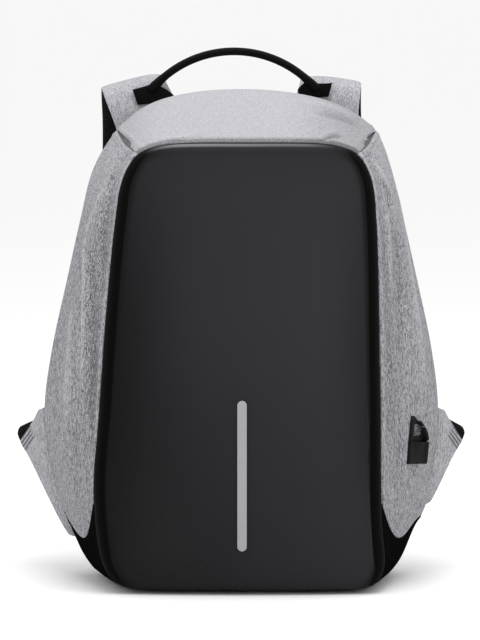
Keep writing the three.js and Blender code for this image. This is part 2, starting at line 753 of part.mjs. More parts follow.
// The wing's seam on the side, and its free edge, which goes from its lower corner by way of the tip to the top.
function wingSeam(side, t) {
  const { seamFrom, seamTo } = wingOf(side);
  return sleevePoint(atSide(side, lerp(seamFrom, seamTo, t)), 1.05, 2 * seamClearance);
}
function wingCorner(side, corner) {
  const [out, back, up] = wingOf(side)[corner];
  return point((side * out * bodyWidth) / 2, backY * back, up * bodyHeight);
}
function wingFreeEdge(side, t) {
  const low = wingSeam(side, 0);
  low.x += side * wingWall;
  const tipAt = 0.8;
  if (t < tipAt) return low.lerp(wingCorner(side, "tip"), t / tipAt);
  return wingCorner(side, "tip").lerp(wingCorner(side, "top"), (t - tipAt) / (1 - tipAt));
}

// The wing's back face, and the direction straight back from it.
const wingFace = (side, t, u) => wingSeam(side, t).lerp(wingFreeEdge(side, t), u);
function wingBack(side, t) {
  const step = 0.1;
  const up = wingFace(side, Math.min(t + step, 0.99), 0.9).sub(wingFace(side, Math.max(t - step, 0.01), 0.9));
  const out = wingFace(side, t, 1).sub(wingFace(side, t, 0));
  return up.cross(out).multiplyScalar(side).normalize();
}

function wing(side) {
  const rows = 10;
  const columns = 3;
  const [outer, inner] = [[], []];
  for (let i = 0; i <= rows; i += 1) {
    const back = wingBack(side, i / rows);
    for (let j = 0; j <= columns; j += 1) {
      const p = wingFace(side, i / rows, j / columns);
      inner.push(p);
      outer.push(p.clone().addScaledVector(back, -wingWall));
    }
  }
  return wallBetween(outer, inner, gridQuads(rows, columns));
}

// The webbing from its free tail, round the adjuster's lower bar and in behind the wing's slanting edge.
function webbing(side) {
  const frame = adjusterFrame(side);
  const [tip, top] = [wingCorner(side, "tip"), wingCorner(side, "top")];
  const edge = top.clone().sub(tip).normalize();
  const back = wingBack(side, 0.82);
  const outward = edge.clone().cross(back).multiplyScalar(-side).normalize();
  const at = (out, behind) =>
    tip
      .clone()
      .lerp(top, 0.5)
      .addScaledVector(outward, out)
      .addScaledVector(back, 2 * seamClearance + webbingWall / 2 + behind);
  const folded = foldedWebbing(frame, barOffset, -1, [barOffset + tailLength, barClear], [barOffset + 12, -barClear]);
  const last = folded[folded.length - 1];
  const wide = edge.clone().multiplyScalar(side);
  const slanted = wide.clone().addScaledVector(outward, -side * curlSlant);
  const turned = (share) => frame.wide.clone().lerp(wide, share).normalize();
  const rows = [
    ...folded.map((p) => ({ at: p, wide: frame.wide })),
    { at: last.clone().lerp(at(10, 24), 0.5), wide: turned(0.5) },
    { at: at(11, 14), wide: turned(0.85) },
    { at: at(10, 6), wide: slanted },
    { at: at(5, 1.8), wide: slanted },
    { at: at(1, 0.6), wide },
    { at: at(-wingTuck, 0), wide },
  ];
  return sweep(38, ribbon(rows), flatSection(webbingWidth, webbingWall));
}

// The rolled carrying handle: an arc of a circle in an upright plane.
const handleFoot = bodyHeight + handleLift;
const handleRadius = ((handleSpan / 2) ** 2 + handleRise ** 2) / (2 * handleRise);
const handleY = strapSeatY - seamClearance - handleTabWall / 2;
function handleRoll() {
  const reach = Math.asin(handleSpan / 2 / handleRadius);
  const sides = 10;
  const section = Array.from({ length: sides }, (_, k) => {
    const turn = (2 * Math.PI * k) / sides;
    return [(handleThickness / 2) * Math.cos(turn), (handleThickness / 2) * Math.sin(turn)];
  });
  const at = (t) => {
    const turn = lerp(-reach, reach, t);
    const out = point(Math.sin(turn), 0, Math.cos(turn));
    const middle = out.clone().multiplyScalar(handleRadius);
    middle.x += handleMiddle;
    middle.y = handleY - (handleThickness - handleTabWall) / 2;
    middle.z += handleFoot + handleRise - handleRadius;
    return { middle, wide: out, thick: point(0, 1, 0) };
  };
  return sweep(22, at, () => section);
}

function handleTab(side) {
  const shape = new THREE.Shape(
    HANDLE_TABS[side > 0 ? "right" : "left"].map(
      ({ out, up }) => new THREE.Vector2(handleMiddle + side * out * handleSpan, handleFoot + up * handleRise),
    ),
  );
  const geometry = new THREE.ExtrudeGeometry(shape, { depth: handleTabWall, bevelEnabled: false });
  return geometry.rotateX(Math.PI / 2).translate(0, handleY + handleTabWall / 2, 0);
}

// A THREE geometry as a manifold-3d solid, and back.
function solidOf(geometry) {
  const bare = geometry.clone();
  bare.deleteAttribute("normal");
  bare.deleteAttribute("uv");
  const merged = mergeVertices(bare, 1e-4);
  return new wasm.Manifold(
    new wasm.Mesh({
      numProp: 3,
      vertProperties: merged.attributes.position.array,
      triVerts: new Uint32Array(merged.index.array),
    }),
  );
}
function geometryFrom(solid) {
  const mesh = solid.getMesh();
  const geometry = new THREE.BufferGeometry();
  geometry.setAttribute("position", new THREE.BufferAttribute(mesh.vertProperties, 3));
  geometry.setIndex(new THREE.BufferAttribute(mesh.triVerts, 1));
  geometry.computeVertexNormals();
  return geometry;
}

// The port's shield outline, as heights with the places of its front and back edges from its middle line.
const PORT_OUTLINE = [
  { up: 0.0, front: -0.5, back: 0.44 },
  { up: 0.06, front: -0.5, back: 0.5 },
  { up: 0.5, front: -0.5, back: 0.5 },
  { up: 0.64, front: -0.47, back: 0.42 },
  { up: 0.78, front: -0.45, back: 0.26 },
  { up: 0.9, front: -0.42, back: 0.04 },
  { up: 1.0, front: -0.36, back: -0.2 },
];
const portStation = 4.75; // near the port's foot, where the search for its height starts
const portMiddle = findPortMiddle();

// The port stands upright on the side cloth. Its own frame: X backwards along the cloth, Y out of it, Z up.
function findPortMiddle() {
  let station = portStation;
  for (let i = 0; i < 20; i += 1) {
    const height = sleevePoint(station, portAcross).z;
    station += (portFoot + portHeight / 2 - height) * stationsPerMm(station, portAcross);
  }
  const facing = sleeveNormal(station, portAcross).setZ(0).normalize();
  return { station, at: sleevePoint(station, portAcross), facing };
}

// A point on the cloth under the port, moved out of it.
function portPoint(along, up, out) {
  const station = portMiddle.station + up * stationsPerMm(portMiddle.station, portAcross);
  const across = portAcross + along * acrossPerMm(portMiddle.station, portAcross);
  return sleevePoint(station, across, out);
}

// A slab of the port between two heights and two distances out of the cloth; trim pulls its edges in.
function portSlab(from, to, low, high, trim = 0) {
  const rows = 6;
  const columns = 2;
  const sheet = (out) => {
    const points = [];
    for (let i = 0; i <= rows; i += 1) {
      const up = lerp(from, to, i / rows);
      const front = readTable(PORT_OUTLINE, "up", "front", up) * portWidth + trim;
      const back = readTable(PORT_OUTLINE, "up", "back", up) * portWidth - trim;
      for (let j = 0; j <= columns; j += 1) {
        points.push(portPoint(lerp(front, Math.max(back, front + 1), j / columns), (up - 0.5) * portHeight, out));
      }
    }
    return points;
  };
  return solidOf(wallBetween(sheet(high), sheet(low), gridQuads(rows, columns)));
}

// The moulded port: a shield-shaped flange, a raised rim round the hollow for the plug, and a block with the socket.
function chargingPort() {
  const blockTop = portBlockHeight / portHeight;
  const overlap = 0.1; // share of the height by which the parts of the moulding run into each other
  const flange = portSlab(0, 1, seamClearance, seamClearance + portFlange);
  const rim = portSlab(blockTop - 2 * overlap, 0.9, seamClearance + portFlange / 2, portRimHeight + portFlange, 0.8);
  const hollow = portSlab(blockTop - overlap, 1, seamClearance + portFlange * 0.9, portRimHeight * 3, portRim + 0.8);
  const block = portSlab(0.03, blockTop, seamClearance + portFlange / 3, portBlockDepth, 0.4);
  const socket = new THREE.BoxGeometry(socketWidth, socketGap, 2 * socketDepth);
  socket.rotateZ(Math.atan2(portMiddle.facing.y, portMiddle.facing.x) - Math.PI / 2);
  const mouth = portPoint(0, portBlockHeight - portHeight / 2, (portBlockDepth + portFlange) / 2);
  socket.translate(mouth.x, mouth.y, mouth.z);
  return geometryFrom(flange.add(rim.subtract(hollow)).add(block).subtract(solidOf(socket)));
}

// Finishes.
const finish = (color, roughness) => new THREE.MeshStandardMaterial({ color, roughness, metalness: 0 });
const greyCloth = finish(0x9d9ca0, 0.95);
const charcoal = finish(0x303033, 0.5);
const blackCloth = finish(0x121214, 0.85);
const blackMesh = finish(0x17171a, 0.95);
const blackWebbing = finish(0x0f0f11, 0.7);
const blackPlastic = finish(0x1b1b1e, 0.4);
const blackRubber = finish(0x26262a, 0.6);
const silver = finish(0xa7a6ab, 0.35);
const darkMetal = new THREE.MeshStandardMaterial({ color: 0x3a3a3e, roughness: 0.35, metalness: 1 });

const backpack = new THREE.Group();
backpack.name = "backpack";
function add(name, geometry, material) {
  const mesh = new THREE.Mesh(geometry, material);
  mesh.name = name;
  backpack.add(mesh);
  return mesh;
}

add("front_panel", frontPanel(), charcoal);
add("reflective_stripe", stripe(), silver);
add("base", sleevePiece(baseEdge(-1, -1), (across) => loop + baseEdge(1, -1)(across), baseSteps, clothWall), blackCloth);
add("hood", sleevePiece(hoodEdge(1, 1), hoodEdge(-1, 1), hoodSteps, clothWall), greyCloth);
add("zip_tape", zipTape(), blackWebbing);
add("zip_slider", zipSlider(), darkMetal);
add("back_panel", backPanel(), blackMesh);
add("handle_roll", handleRoll(), blackWebbing);
add("charging_port", chargingPort(), blackRubber);

for (const [side, word] of [[1, "right"], [-1, "left"]]) {
  add(`side_${word}`, sleevePiece(baseEdge(side, 1), hoodEdge(side, -1), sideSteps, clothWall), greyCloth);
  add(`strap_pad_${word}`, strapLayer(side, strapPad, -1), blackMesh);
  add(`strap_face_${word}`, strapLayer(side, strapFace, 1), greyCloth);
  add(`strap_loop_${word}`, strapLoop(side), blackWebbing);
  add(`webbing_${word}`, webbing(side), blackWebbing);
  add(`wing_${word}`, wing(side), greyCloth);
  add(`handle_tab_${word}`, handleTab(side), blackWebbing);
  const { middle, down, out, wide } = adjusterFrame(side);
  place(add(`adjuster_${word}`, adjuster(), blackPlastic), {
    middle,
    wide,
    up: down.clone().negate(),
    facing: wide.clone().cross(down.clone().negate()),
  });
}

export default backpack;
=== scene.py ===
# %% [markdown]
# # A zipped anti-theft backpack, dressed in cloth
# The solids of the bag come ready-made and true to size. This lesson gives them what a solid can't hold:
# soft hems, folds, stitches, the teeth of the zip, and cloth, mesh, rubber and webbing for their surfaces.
# Everything is in metres, with +Z up and the front panel facing -Y, and nothing is random.

# %% Load the solids
import math

import bmesh
import bpy
import numpy as np
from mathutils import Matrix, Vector
from mathutils.bvhtree import BVHTree


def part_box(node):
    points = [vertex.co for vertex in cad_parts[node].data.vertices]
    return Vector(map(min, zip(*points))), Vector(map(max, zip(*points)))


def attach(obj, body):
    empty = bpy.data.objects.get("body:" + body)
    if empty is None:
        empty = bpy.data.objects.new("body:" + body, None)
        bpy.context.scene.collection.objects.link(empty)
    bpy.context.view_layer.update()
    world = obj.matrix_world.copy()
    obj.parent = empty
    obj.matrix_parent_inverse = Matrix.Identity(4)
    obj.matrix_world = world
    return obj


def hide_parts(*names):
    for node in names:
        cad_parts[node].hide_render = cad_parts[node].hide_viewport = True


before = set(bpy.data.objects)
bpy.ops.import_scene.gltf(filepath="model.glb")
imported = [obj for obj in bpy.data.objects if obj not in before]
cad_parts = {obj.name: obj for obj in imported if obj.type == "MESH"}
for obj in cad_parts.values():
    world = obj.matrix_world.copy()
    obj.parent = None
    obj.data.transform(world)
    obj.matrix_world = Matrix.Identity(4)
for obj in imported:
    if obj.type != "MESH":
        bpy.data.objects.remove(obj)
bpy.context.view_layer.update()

# %% [markdown]
# ## The camera
# The photograph was taken from far away and a little above the middle of the bag, so its lines hardly
# converge. A long lens at that distance gives the same view. The aim is worked out from one point that is
# easy to find again: the middle of the bag, and the pixel that it falls on. The same numbers turn any pixel
# back into a ray, which is how the folds are later laid exactly where the photograph shows them.

# %% Camera
IMAGE_WIDTH = 480
IMAGE_HEIGHT = 640
CAMERA_DISTANCE = 3.3
CAMERA_ELEVATION = math.radians(5)
METRES_PER_PIXEL = 0.00087
SENSOR_MM = 36
aim_point = Vector((0, 0, 0.23))
aim_pixel = (242, 319.3)

ahead = Vector((0, math.cos(CAMERA_ELEVATION), -math.sin(CAMERA_ELEVATION)))
rightward = Vector((1, 0, 0))
upward = rightward.cross(ahead)
off_centre = (
    rightward * (IMAGE_WIDTH / 2 - aim_pixel[0]) + upward * (aim_pixel[1] - IMAGE_HEIGHT / 2)
) * METRES_PER_PIXEL
eye = aim_point + off_centre - ahead * CAMERA_DISTANCE

camera = bpy.data.objects.new("camera", bpy.data.cameras.new("camera"))
bpy.context.scene.collection.objects.link(camera)
camera.location = eye
camera.rotation_mode = "QUATERNION"
camera.rotation_quaternion = ahead.to_track_quat("-Z", "Y")
camera.data.lens = SENSOR_MM * CAMERA_DISTANCE / (METRES_PER_PIXEL * IMAGE_HEIGHT)
camera.data.sensor_width = SENSOR_MM
camera.data.clip_end = 2000
bpy.context.scene.camera = camera
print("lens:", round(camera.data.lens, 1), "mm")


def ray_through(pixel):
    """The direction from the camera through a pixel of the photograph."""
    across = (pixel[0] - IMAGE_WIDTH / 2) * METRES_PER_PIXEL
    down = (pixel[1] - IMAGE_HEIGHT / 2) * METRES_PER_PIXEL
    return (ahead * CAMERA_DISTANCE + rightward * across - upward * down).normalized()


# %% [markdown]
# ## Shader sums
# A material is easier to read as arithmetic than as a drawing of boxes. `Signal` wraps the output of a
# node, and its operators add the Math nodes, or Vector Math where it holds a vector. `Finish` is one
# material: its `node` method makes any other node, and its `shade` method feeds the shader.

# %% Signals and finishes
class Signal:
    """What a node gives, with the sums that can be done on it."""

    def __init__(self, finish, socket):
        self.finish = finish
        self.socket = socket

    def sum_node(self, operation, first, second):
        kind = "ShaderNodeVectorMath" if self.socket.type == "VECTOR" else "ShaderNodeMath"
        return self.finish.node(kind, {"operation": operation}, {0: first, 1: second})

    def __add__(self, other):
        return self.sum_node("ADD", self, other)

    def __radd__(self, other):
        return self.sum_node("ADD", other, self)

    def __sub__(self, other):
        return self.sum_node("SUBTRACT", self, other)

    def __rsub__(self, other):
        return self.sum_node("SUBTRACT", other, self)

    def __mul__(self, other):
        return self.sum_node("MULTIPLY", self, other)

    def __rmul__(self, other):
        return self.sum_node("MULTIPLY", other, self)

    def sine(self):
        return self.finish.node("ShaderNodeMath", {"operation": "SINE"}, {0: self})

    def towards(self, direction):
        """How far a place lies in one direction."""
        inputs = {0: self, 1: direction}
        return self.finish.node("ShaderNodeVectorMath", {"operation": "DOT_PRODUCT"}, inputs, output="Value")

    def larger(self, other):
        return self.sum_node("MAXIMUM", self, other)

    def between(self, low, high):
        """0 below low and 1 above high, with a soft step between them."""
        settings = {"interpolation_type": "SMOOTHSTEP"}
        return self.finish.node("ShaderNodeMapRange", settings, {0: self, 1: low, 2: high, 3: 0.0, 4: 1.0})


class Finish:
    """A material: a Principled shader and the signals that feed it."""

    def __init__(self, name, sockets):
        self.material = bpy.data.materials.new(name)
        self.material.use_nodes = True
        self.tree = self.material.node_tree
        self.shader = self.tree.nodes["Principled BSDF"]
        self.plug(self.shader, sockets)

    def plug(self, node, inputs):
        for key, value in inputs.items():
            if isinstance(value, Signal):
                self.tree.links.new(value.socket, node.inputs[key])
            else:
                node.inputs[key].default_value = value

    def node(self, kind, settings=None, inputs=None, output=0):
        node = self.tree.nodes.new(kind)
        for setting, value in (settings or {}).items():
            setattr(node, setting, value)
        self.plug(node, inputs or {})
        return Signal(self, node.outputs[output])

    def place(self):
        return self.node("ShaderNodeTexCoord", output="Object")

    def attribute(self, name):
        return self.node("ShaderNodeAttribute", {"attribute_name": name}, output="Fac")

    def noise(self, place, scale, detail=2.0):
        """Noise of about so many grains a metre; a scale of three numbers stretches it."""
        stretched = place * (scale if hasattr(scale, "__len__") else (scale, scale, scale))
        return self.node("ShaderNodeTexNoise", None, {"Vector": stretched, "Scale": 1.0, "Detail": detail})

    def mix(self, share, first, second):
        colours = [c if isinstance(c, Signal) else (*c, 1.0) for c in (first, second)]
        inputs = {0: share, 6: colours[0], 7: colours[1]}
        return self.node("ShaderNodeMix", {"data_type": "RGBA"}, inputs, output=2)

    def relief(self, height, depth, strength=1.0):
        """A bump of that depth in metres, for the shader's normal."""
        return self.node("ShaderNodeBump", None, {"Height": height, "Distance": depth, "Strength": strength})

    def shade(self, **signals):
        self.plug(self.shader, {key.replace("_", " "): value for key, value in signals.items()})
        return self.material


def grey(level, blue=1.045):
    """A neutral colour with a touch of violet, as linear red, green and blue."""
    return (level, level * 0.98, level * blue)


# %% [markdown]
# ## Grey melange canvas
# The sides and the hood are a canvas of light and dark threads spun together. From a distance it is a mid
# grey full of pepper-like specks and fine streaks, where a darker or lighter thread runs for a centimetre,
# and close up it is a plain weave. Noise stretched along the threads gives the streaks, and round noise of
# a millimetre gives the specks. The hood's copy is paler and of less contrast, painted light from the lamp
# above. The mesh carries an attribute, `tone`, which is below zero in the hollows between folds and above
# zero on ridges and hems: painted shade in the hollows, and painted light on the ridges and hems. With
# `rows`, three sewn rows run beside an edge as grooves with painted shade in them.

# %% Melange canvas
WING_ROW = 0.0034


def melange(name, along, light, dark, contrast=1.0, rows=False):
    """Grey canvas whose threads run along one axis of the bag: 1 is front to back and 2 is upright."""
    finish = Finish(name, {"Roughness": 0.95, "Specular IOR Level": 0.08})
    place = finish.place()
    thread = [1150.0, 1150.0, 1150.0]
    thread[along] = 230.0
    slub = [560.0, 560.0, 560.0]
    slub[along] = 45.0
    weft = [240.0, 240.0, 240.0]
    weft[along] = 1300.0
    threads = finish.noise(place, thread, 0.0).between(0.36, 0.64)
    slubs = finish.noise(place, slub, 1.0).between(0.34, 0.66)
    specks = finish.noise(place, 1350.0, 0.0).between(0.38, 0.62)
    pattern = threads * 0.37 + slubs * 0.17 + specks * 0.46 - 0.5
    # The mesh's tone adds painted light on ridges and hems and painted shade in hollows.
    share = pattern * contrast + finish.attribute("tone") * 0.5 + 0.5
    height = threads * 0.6 + finish.noise(place, weft, 1.0) * 0.5 + slubs * 0.4
    if rows:
        from_edge = finish.attribute("from_edge")
        # Painted shade in the grooves of the sewn rows darkens the canvas there.
        groove = (from_edge * (-2 * math.pi / WING_ROW)).sine().between(-0.3, 0.5)
        groove = groove * (1 - from_edge.between(3.1 * WING_ROW, 3.2 * WING_ROW)) * finish.attribute("rows")
        share = share - groove * 0.75
        height = height - groove * 2.0
    return finish.shade(
        Base_Color=finish.mix(share, grey(dark), grey(light)),
        Normal=finish.relief(height, 0.0003, 0.5),
    )


side_canvas = melange("grey_canvas_sides", 2, 0.43, 0.06, 1.15)
# The hood's copy of the canvas is paler and of less contrast than the sides': painted light from the lamp
# above.
hood_canvas = melange("grey_canvas_hood_painted_light", 1, 0.49, 0.14, 0.36)
strap_canvas = melange("grey_canvas_straps", 2, 0.58, 0.14, 0.7)
wing_canvas = melange("grey_canvas_wings", 2, 0.5, 0.12, 0.8, rows=True)
lining_canvas = melange("grey_lining", 1, 0.17, 0.06, 0.8)
canvases = (side_canvas, hood_canvas, strap_canvas, wing_canvas, lining_canvas)
print("canvas finishes:", [canvas.name for canvas in canvases])

# %% [markdown]
# ## Coated front panel
# The front is a cloth with a smooth matt coating, pressed over a board. It is charcoal where it faces the
# viewer, with painted light making it a little paler towards the top and the right where the light comes
# from, and black where it rolls round the sides: black cloth there, with a ramp of painted shade before it.
# The mesh carries `flank` and `upturn`, which say how far a place has turned sideways and up; painted shade
# darkens the turned-up places. `under_hood`, its distance from the hood's hem, gives a dark line of painted
# shade, and `crown` a painted highlight, the pale line just below that, where the top edge turns to the
# light.

# %% Coated cloth
def coated_cloth():
    finish = Finish("coated_cloth", {"Specular IOR Level": 0.07})
    place = finish.place()
    grain = finish.noise(place, 2400.0, 1.0)
    clouds = finish.noise(place, 9.0)
    # Painted light: the face is paler towards the top and the right, where the light comes from.
    lit = place.towards((1.5, 0.0, 1.0)).between(-0.15, 0.45)
    face = finish.mix(lit, grey(0.0075), grey(0.026, 1.14))
    speckle = grain.between(0.45, 0.7) * 0.35 + clouds.between(0.3, 0.7) * 0.1
    speckled = finish.mix(speckle, face, grey(0.034, 1.1))
    # Painted shade where the panel turns up.
    upturn_shaded = finish.mix(finish.attribute("upturn") * 0.75, speckled, grey(0.009, 1.1))
    flank = finish.attribute("flank")
    # Painted shade on the shoulder as the panel turns away sideways; the roll beyond it is black cloth.
    shoulder_shade = finish.mix(flank.between(0.07, 0.24) * 0.85, upturn_shaded, grey(0.0035))
    rolled = finish.mix(flank.between(0.27, 0.36), shoulder_shade, grey(0.0006))
    # Painted highlight: a pale line where the top edge turns up to the light just below the hood.
    with_crown_highlight = finish.mix(finish.attribute("crown"), rolled, grey(0.16, 1.08))
    # Painted shade: a dark line right under the hood's hem.
    in_shade = 1 - finish.attribute("under_hood").between(0.0035, 0.0055)
    return finish.shade(
        Base_Color=finish.mix(in_shade, with_crown_highlight, grey(0.002)),
        Roughness=0.55 + 0.3 * flank.between(0.2, 0.4) + grain * 0.1,
        Normal=finish.relief(grain, 0.00006, 0.6),
    )


coated = coated_cloth()
print("coated cloth:", coated.name)

# %% [markdown]
# ## Black cloth, webbing and mesh
# The black materials differ mostly in how they catch light: the base is a dull canvas, the webbing has ribs
# across it, and the padding is covered in a knitted mesh with small holes. Black cloth gives back hardly
# any light, so the specular level stays very low.

# %% Black finishes
def black_canvas(name, level, scale=1.0):
    finish = Finish(name, {"Roughness": 0.9, "Specular IOR Level": 0.0})
    place = finish.place()
    warp = finish.noise(place, (1100.0 * scale, 1100.0 * scale, 260.0 * scale), 1.0)
    weft = finish.noise(place, (260.0 * scale, 260.0 * scale, 1100.0 * scale), 1.0)
    weave = warp.larger(weft)
    return finish.shade(
        Base_Color=finish.mix(weave.between(0.35, 0.75), grey(level * 0.5), grey(level * 1.8)),
        Normal=finish.relief(weave, 0.0003, 0.7),
    )


def woven_webbing():
    finish = Finish("black_webbing", {"Roughness": 0.75, "Specular IOR Level": 0.03})
    place = finish.place()
    height = finish.node("ShaderNodeSeparateXYZ", None, {0: place}, output="Z")
    rib = (height * 3600.0).sine() * 0.5 + 0.5
    fuzz = finish.noise(place, 1500.0, 1.0)
    return finish.shade(
        Base_Color=finish.mix(fuzz.between(0.3, 0.7) * 0.7 + rib * 0.3, grey(0.0012), grey(0.008)),
        Normal=finish.relief(rib * 0.6 + fuzz * 0.5, 0.00025, 0.7),
    )


def spacer_mesh(name, level):
    finish = Finish(name, {"Roughness": 0.85, "Specular IOR Level": 0.06})
    place = finish.place()
    inputs = {"Vector": place, "Scale": 420.0, "Randomness": 0.25}
    cells = finish.node("ShaderNodeTexVoronoi", {"feature": "F1"}, inputs)
    hole = 1 - cells.between(0.18, 0.42)
    fuzz = finish.noise(place, 2200.0, 1.0)
    return finish.shade(
        Base_Color=finish.mix(hole, grey(level), grey(level * 0.12)),
        Normal=finish.relief(1 - hole + fuzz * 0.2, 0.0006, 0.8),
    )


def braided_cover():
    """The handle's cover: two sets of strands that wind round it and cross."""
    finish = Finish("black_braid", {"Roughness": 0.65, "Specular IOR Level": 0.05})
    along = finish.attribute("along") * 1900.0
    around = finish.attribute("around") * 9.0
    strands = (along + around).sine() * (along - around).sine()
    fuzz = finish.noise(finish.place(), 1800.0, 1.0)
    shown = strands.between(-0.2, 0.9) * 0.6 + fuzz.between(0.4, 0.65) * 0.4
    # Painted highlight: the strands show pale only where the roll faces up to the light.
    top_highlight = finish.attribute("top_side")
    return finish.shade(
        Base_Color=finish.mix(shown * top_highlight, grey(0.0012), grey(0.03)),
        Normal=finish.relief(strands + fuzz * 0.4, 0.0004, 0.8),
    )


def moulded(name, level, roughness, grain_depth, specular=0.2, rear_shade_level=None):
    """A moulding; with a rear shade level it is of that grey where the mesh's `rear` is 1: painted shade."""
    finish = Finish(name, {"Specular IOR Level": specular})
    place = finish.place()
    grain = finish.noise(place, 1400.0, 2.0)
    clouds = finish.noise(place, 60.0)
    colour = finish.mix(clouds.between(0.3, 0.7), grey(level * 0.85), grey(level * 1.2))
    if rear_shade_level is not None:
        # Painted shade on the rear of the moulding.
        colour = finish.mix(finish.attribute("rear"), colour, grey(rear_shade_level))
    return finish.shade(
        Base_Color=colour,
        Roughness=roughness + grain * 0.12,
        Normal=finish.relief(grain, grain_depth, 0.6),
    )


def reflective_film():
    finish = Finish("reflective_film", {"Specular IOR Level": 0.4})
    place = finish.place()
    beads = finish.noise(place, 3200.0, 1.0)
    wear = finish.noise(place, 110.0)
    return finish.shade(
        Base_Color=finish.mix(beads.between(0.3, 0.7) * 0.5 + wear * 0.3, grey(0.26), grey(0.37)),
        Roughness=0.42 + beads * 0.2,
        Normal=finish.relief(beads, 0.00008, 0.5),
    )


def dark_metal():
    finish = Finish("dark_metal", {"Metallic": 1.0})
    brushed = finish.noise(finish.place(), (300.0, 300.0, 2400.0), 1.0)
    return finish.shade(
        Base_Color=finish.mix(brushed, grey(0.07), grey(0.14)),
        Roughness=0.28 + brushed * 0.2,
        Normal=finish.relief(brushed, 0.00003, 0.4),
    )


base_canvas = black_canvas("black_base_canvas", 0.0032)
webbing_finish = woven_webbing()
back_mesh = spacer_mesh("black_spacer_mesh_back", 0.022)
strap_mesh = spacer_mesh("black_spacer_mesh_straps", 0.009)
braid_finish = braided_cover()
rubber = moulded("black_rubber", 0.012, 0.6, 0.00008, specular=0.06, rear_shade_level=0.003)
scoop_rubber = moulded("grey_scoop_rubber", 0.12, 0.6, 0.00012)
plastic = moulded("black_plastic", 0.008, 0.32, 0.00004)
film = reflective_film()
metal = dark_metal()
grey_thread = black_canvas("grey_thread", 0.2, 2.0)
pale_thread = black_canvas("pale_thread", 0.36, 2.0)
print("small finishes:", rubber.name, scoop_rubber.name, plastic.name, film.name, metal.name)

# %% [markdown]
# ## From solids to soft pieces
# Each cloth piece starts as a copy of its solid, so it is the right size and in the right place. The copy's
# triangles are joined back into quads, its sharp hems get a crease, and a subdivision surface rounds it.
# The solid itself is only hidden. Points are then moved with numpy, because a fold is easiest to write as a
# sum over all of them.

# %% Copies and point helpers
WELD = 1e-5
HEM_ANGLE = math.radians(50)
BEVEL_ANGLE = math.radians(35)


def welded(node):
    """A solid's mesh as a bmesh of quads."""
    bm = bmesh.new()
    bm.from_mesh(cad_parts[node].data)
    bmesh.ops.remove_doubles(bm, verts=bm.verts, dist=WELD)
    faces = bm.faces[:]
    bmesh.ops.join_triangles(bm, faces=faces, angle_face_threshold=HEM_ANGLE, angle_shape_threshold=math.pi)
    return bm


def shade_smooth(piece):
    piece.data.polygons.foreach_set("use_smooth", [True] * len(piece.data.polygons))


def linked(name, mesh, material):
    piece = bpy.data.objects.new(name, mesh)
    bpy.context.scene.collection.objects.link(piece)
    piece.data.materials.clear()
    piece.data.materials.append(material)
    shade_smooth(piece)
    return piece


def apply(piece):
    """Bakes a piece's modifiers into its mesh."""
    graph = bpy.context.evaluated_depsgraph_get()
    mesh = bpy.data.meshes.new_from_object(piece.evaluated_get(graph))
    piece.modifiers.clear()
    piece.data = mesh


def subdivide(piece, levels):
    """Rounds a piece by a subdivision surface, at once."""
    smooth = piece.modifiers.new("smooth", "SUBSURF")
    smooth.levels = levels
    apply(piece)


def bevel(piece, width, segments):
    """Gives a piece's sharp edges a bevel."""
    edge = piece.modifiers.new("edge", "BEVEL")
    edge.width = width
    edge.segments = segments
    edge.angle_limit = BEVEL_ANGLE


def soft_copy(name, node, material, levels=3, crease=0.55):
    """A rounded copy of a solid, standing in its place."""
    bm = welded(node)
    creases = bm.edges.layers.float.new("crease_edge")
    for edge in bm.edges:
        if len(edge.link_faces) == 2 and edge.calc_face_angle() > HEM_ANGLE:
            edge[creases] = crease
    mesh = bpy.data.meshes.new(name)
    bm.to_mesh(mesh)
    bm.free()
    piece = linked(name, mesh, material)
    subdivide(piece, levels)
    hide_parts(node)
    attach(piece, "root")
    print(name, "from", node, len(piece.data.polygons), "faces")
    return piece


def points_of(piece):
    flat = np.zeros(len(piece.data.vertices) * 3)
    piece.data.vertices.foreach_get("co", flat)
    return flat.reshape(-1, 3)


def normals_of(piece):
    flat = np.zeros(len(piece.data.vertices) * 3)
    piece.data.vertex_normals.foreach_get("vector", flat)
    return flat.reshape(-1, 3)


def set_points(piece, points):
    piece.data.vertices.foreach_set("co", np.asarray(points, float).ravel())
    piece.data.update()


def set_attribute(piece, name, values):
    attribute = piece.data.attributes.new(name, "FLOAT", "POINT")
    attribute.data.foreach_set("value", np.asarray(values, np.float32))


def soft_step(values, low, high):
    share = np.clip((values - low) / (high - low), 0, 1)
    return share * share * (3 - 2 * share)


def surface_of(piece):
    bm = bmesh.new()
    bm.from_mesh(piece.data)
    tree = BVHTree.FromBMesh(bm)
    bm.free()
    return tree


def distance_to(points, node):
    """How far each point is from a solid's surface."""
    tree = surface_of(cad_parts[node])
    return np.array([tree.find_nearest(Vector(p))[3] for p in points])


def along_line(points, line):
    """Each point's distance from a line, and how far along the line its foot is, from 0 to 1."""
    line = np.asarray(line, float)
    lengths = np.linalg.norm(np.diff(line, axis=0), axis=1)
    starts = np.concatenate([[0], np.cumsum(lengths)])
    best = np.full(len(points), np.inf)
    where = np.zeros(len(points))
    for k, (a, b) in enumerate(zip(line[:-1], line[1:])):
        share = np.clip((points - a) @ (b - a) / max(lengths[k] ** 2, 1e-12), 0, 1)
        off = np.linalg.norm(points - (a + share[:, None] * (b - a)), axis=1)
        nearer = off < best
        best[nearer] = off[nearer]
        where[nearer] = ((starts[k] + share * lengths[k]) / starts[-1])[nearer]
    return best, where


